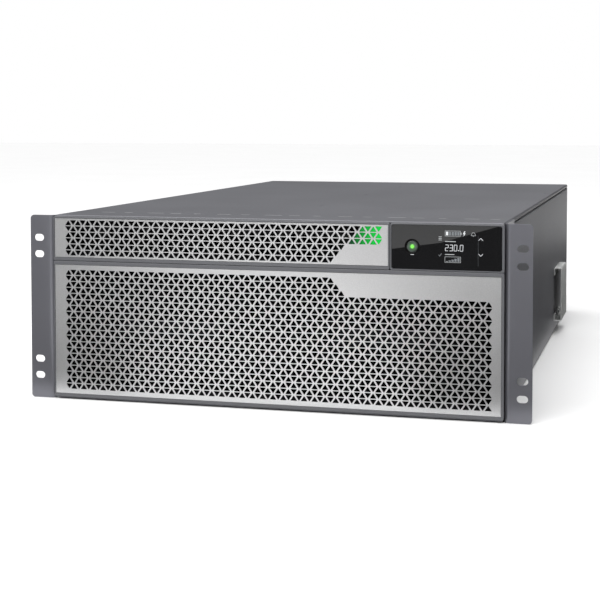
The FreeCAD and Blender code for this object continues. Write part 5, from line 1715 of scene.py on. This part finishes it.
flat_card("floor", [(-12, -12, 0), (12, -12, 0), (12, 12, 0), (-12, 12, 0)], floor_paint())
dark = powder_coat("dark card", (0.004, 0.004, 0.004), roughness=0.9)
CARDS = {
    "right_card": [(0.13, -0.40), (2.6, -0.40), (2.6, -1.25), (0.12, -1.30), (0.075, -1.54), (0.015, -2.03),
                   (-0.045, -2.52), (-0.0546, -2.514), (-0.124, -2.029), (-0.215, -1.84), (-0.16, -1.45),
                   (-0.03, -1.1)],
    "left_card": [(-0.15, -0.40), (-0.34, -0.86), (-0.80, -1.95), (-1.3, -3.2), (-3.2, -3.2), (-3.2, -0.40)],
    "side_card": [(0.235, -0.30), (1.6, -0.30), (1.6, 1.5), (0.235, 1.5)],
}
for name, corners in CARDS.items():
    card = flat_card(name, [(across, along, 0.002) for across, along in corners], dark)
    for way in ("camera", "diffuse", "shadow", "transmission"):
        setattr(card, "visible_" + way, False)

flag = flat_card("flag", [(0.52, -0.25, 0), (0.52, 0.8, 0), (0.52, 0.8, 0.6), (0.52, -0.25, 0.6)], dark)
for way in ("camera", "shadow", "transmission"):
    setattr(flag, "visible_" + way, False)


# %% [markdown]
# ## Light
# A very wide sun acts as a lit ceiling and keeps the floor even. A soft light in front and one behind
# give the satin paint its slow gradients. The room is white to the eye but adds only a little light.

# %% Lights
def soft_light(name, place, target, size, power):
    light = bpy.data.lights.new(name, "AREA")
    light.shape = "RECTANGLE"
    light.size, light.size_y = size
    light.energy = power
    lamp = bpy.data.objects.new(name, light)
    lamp.location = place
    lamp.rotation_euler = (Vector(target) - Vector(place)).to_track_quat("-Z", "Y").to_euler()
    bpy.context.scene.collection.objects.link(lamp)
    return lamp


soft_light("front_top", (-0.5, -2.2, 2.4), (0, -0.2, 0.1), (2.2, 1.0), 40)
soft_light("back", (0.45, 0.9, 1.9), (0.15, 0, 0.17), (1.0, 0.8), 12)
sun = bpy.data.lights.new("ceiling", "SUN")
sun.energy = 3.2
sun.angle = math.radians(100)
ceiling = bpy.data.objects.new("ceiling", sun)
ceiling.rotation_euler = (math.radians(12), math.radians(-8), 0)
bpy.context.scene.collection.objects.link(ceiling)
world = bpy.data.worlds.new("studio")
world.use_nodes = True
nodes, links = world.node_tree.nodes, world.node_tree.links
nodes.clear()
path = nodes.new("ShaderNodeLightPath")
path.label = "seen directly or lighting the room"
level = nodes.new("ShaderNodeMapRange")
level.label = "white backdrop, dim room"
sky = nodes.new("ShaderNodeBackground")
sky.label = "room"
output = nodes.new("ShaderNodeOutputWorld")
output.label = "world"
level.inputs["To Min"].default_value = 0.12
level.inputs["To Max"].default_value = 1.0
links.new(path.outputs["Is Camera Ray"], level.inputs["Value"])
links.new(level.outputs["Result"], sky.inputs["Strength"])
links.new(sky.outputs["Background"], output.inputs["Surface"])
sky.inputs["Color"].default_value = (1, 1, 1, 1)
bpy.context.scene.world = world

# %% [markdown]
# ## Camera
# A long lens from slightly above and to the right. Most of the downward look comes from lens shift, which
# keeps upright edges upright.

# %% Camera
lens = bpy.data.cameras.new("camera")
lens.lens = 80.04
lens.sensor_width = 36.0
lens.shift_x = -0.0513
lens.shift_y = -0.21
camera = bpy.data.objects.new("camera", lens)
camera.location = (0.3594, -1.53403, 0.26986)
camera.rotation_euler = (math.radians(90 - 2.386), 0, math.radians(14.402))
bpy.context.scene.collection.objects.link(camera)
bpy.context.scene.camera = camera
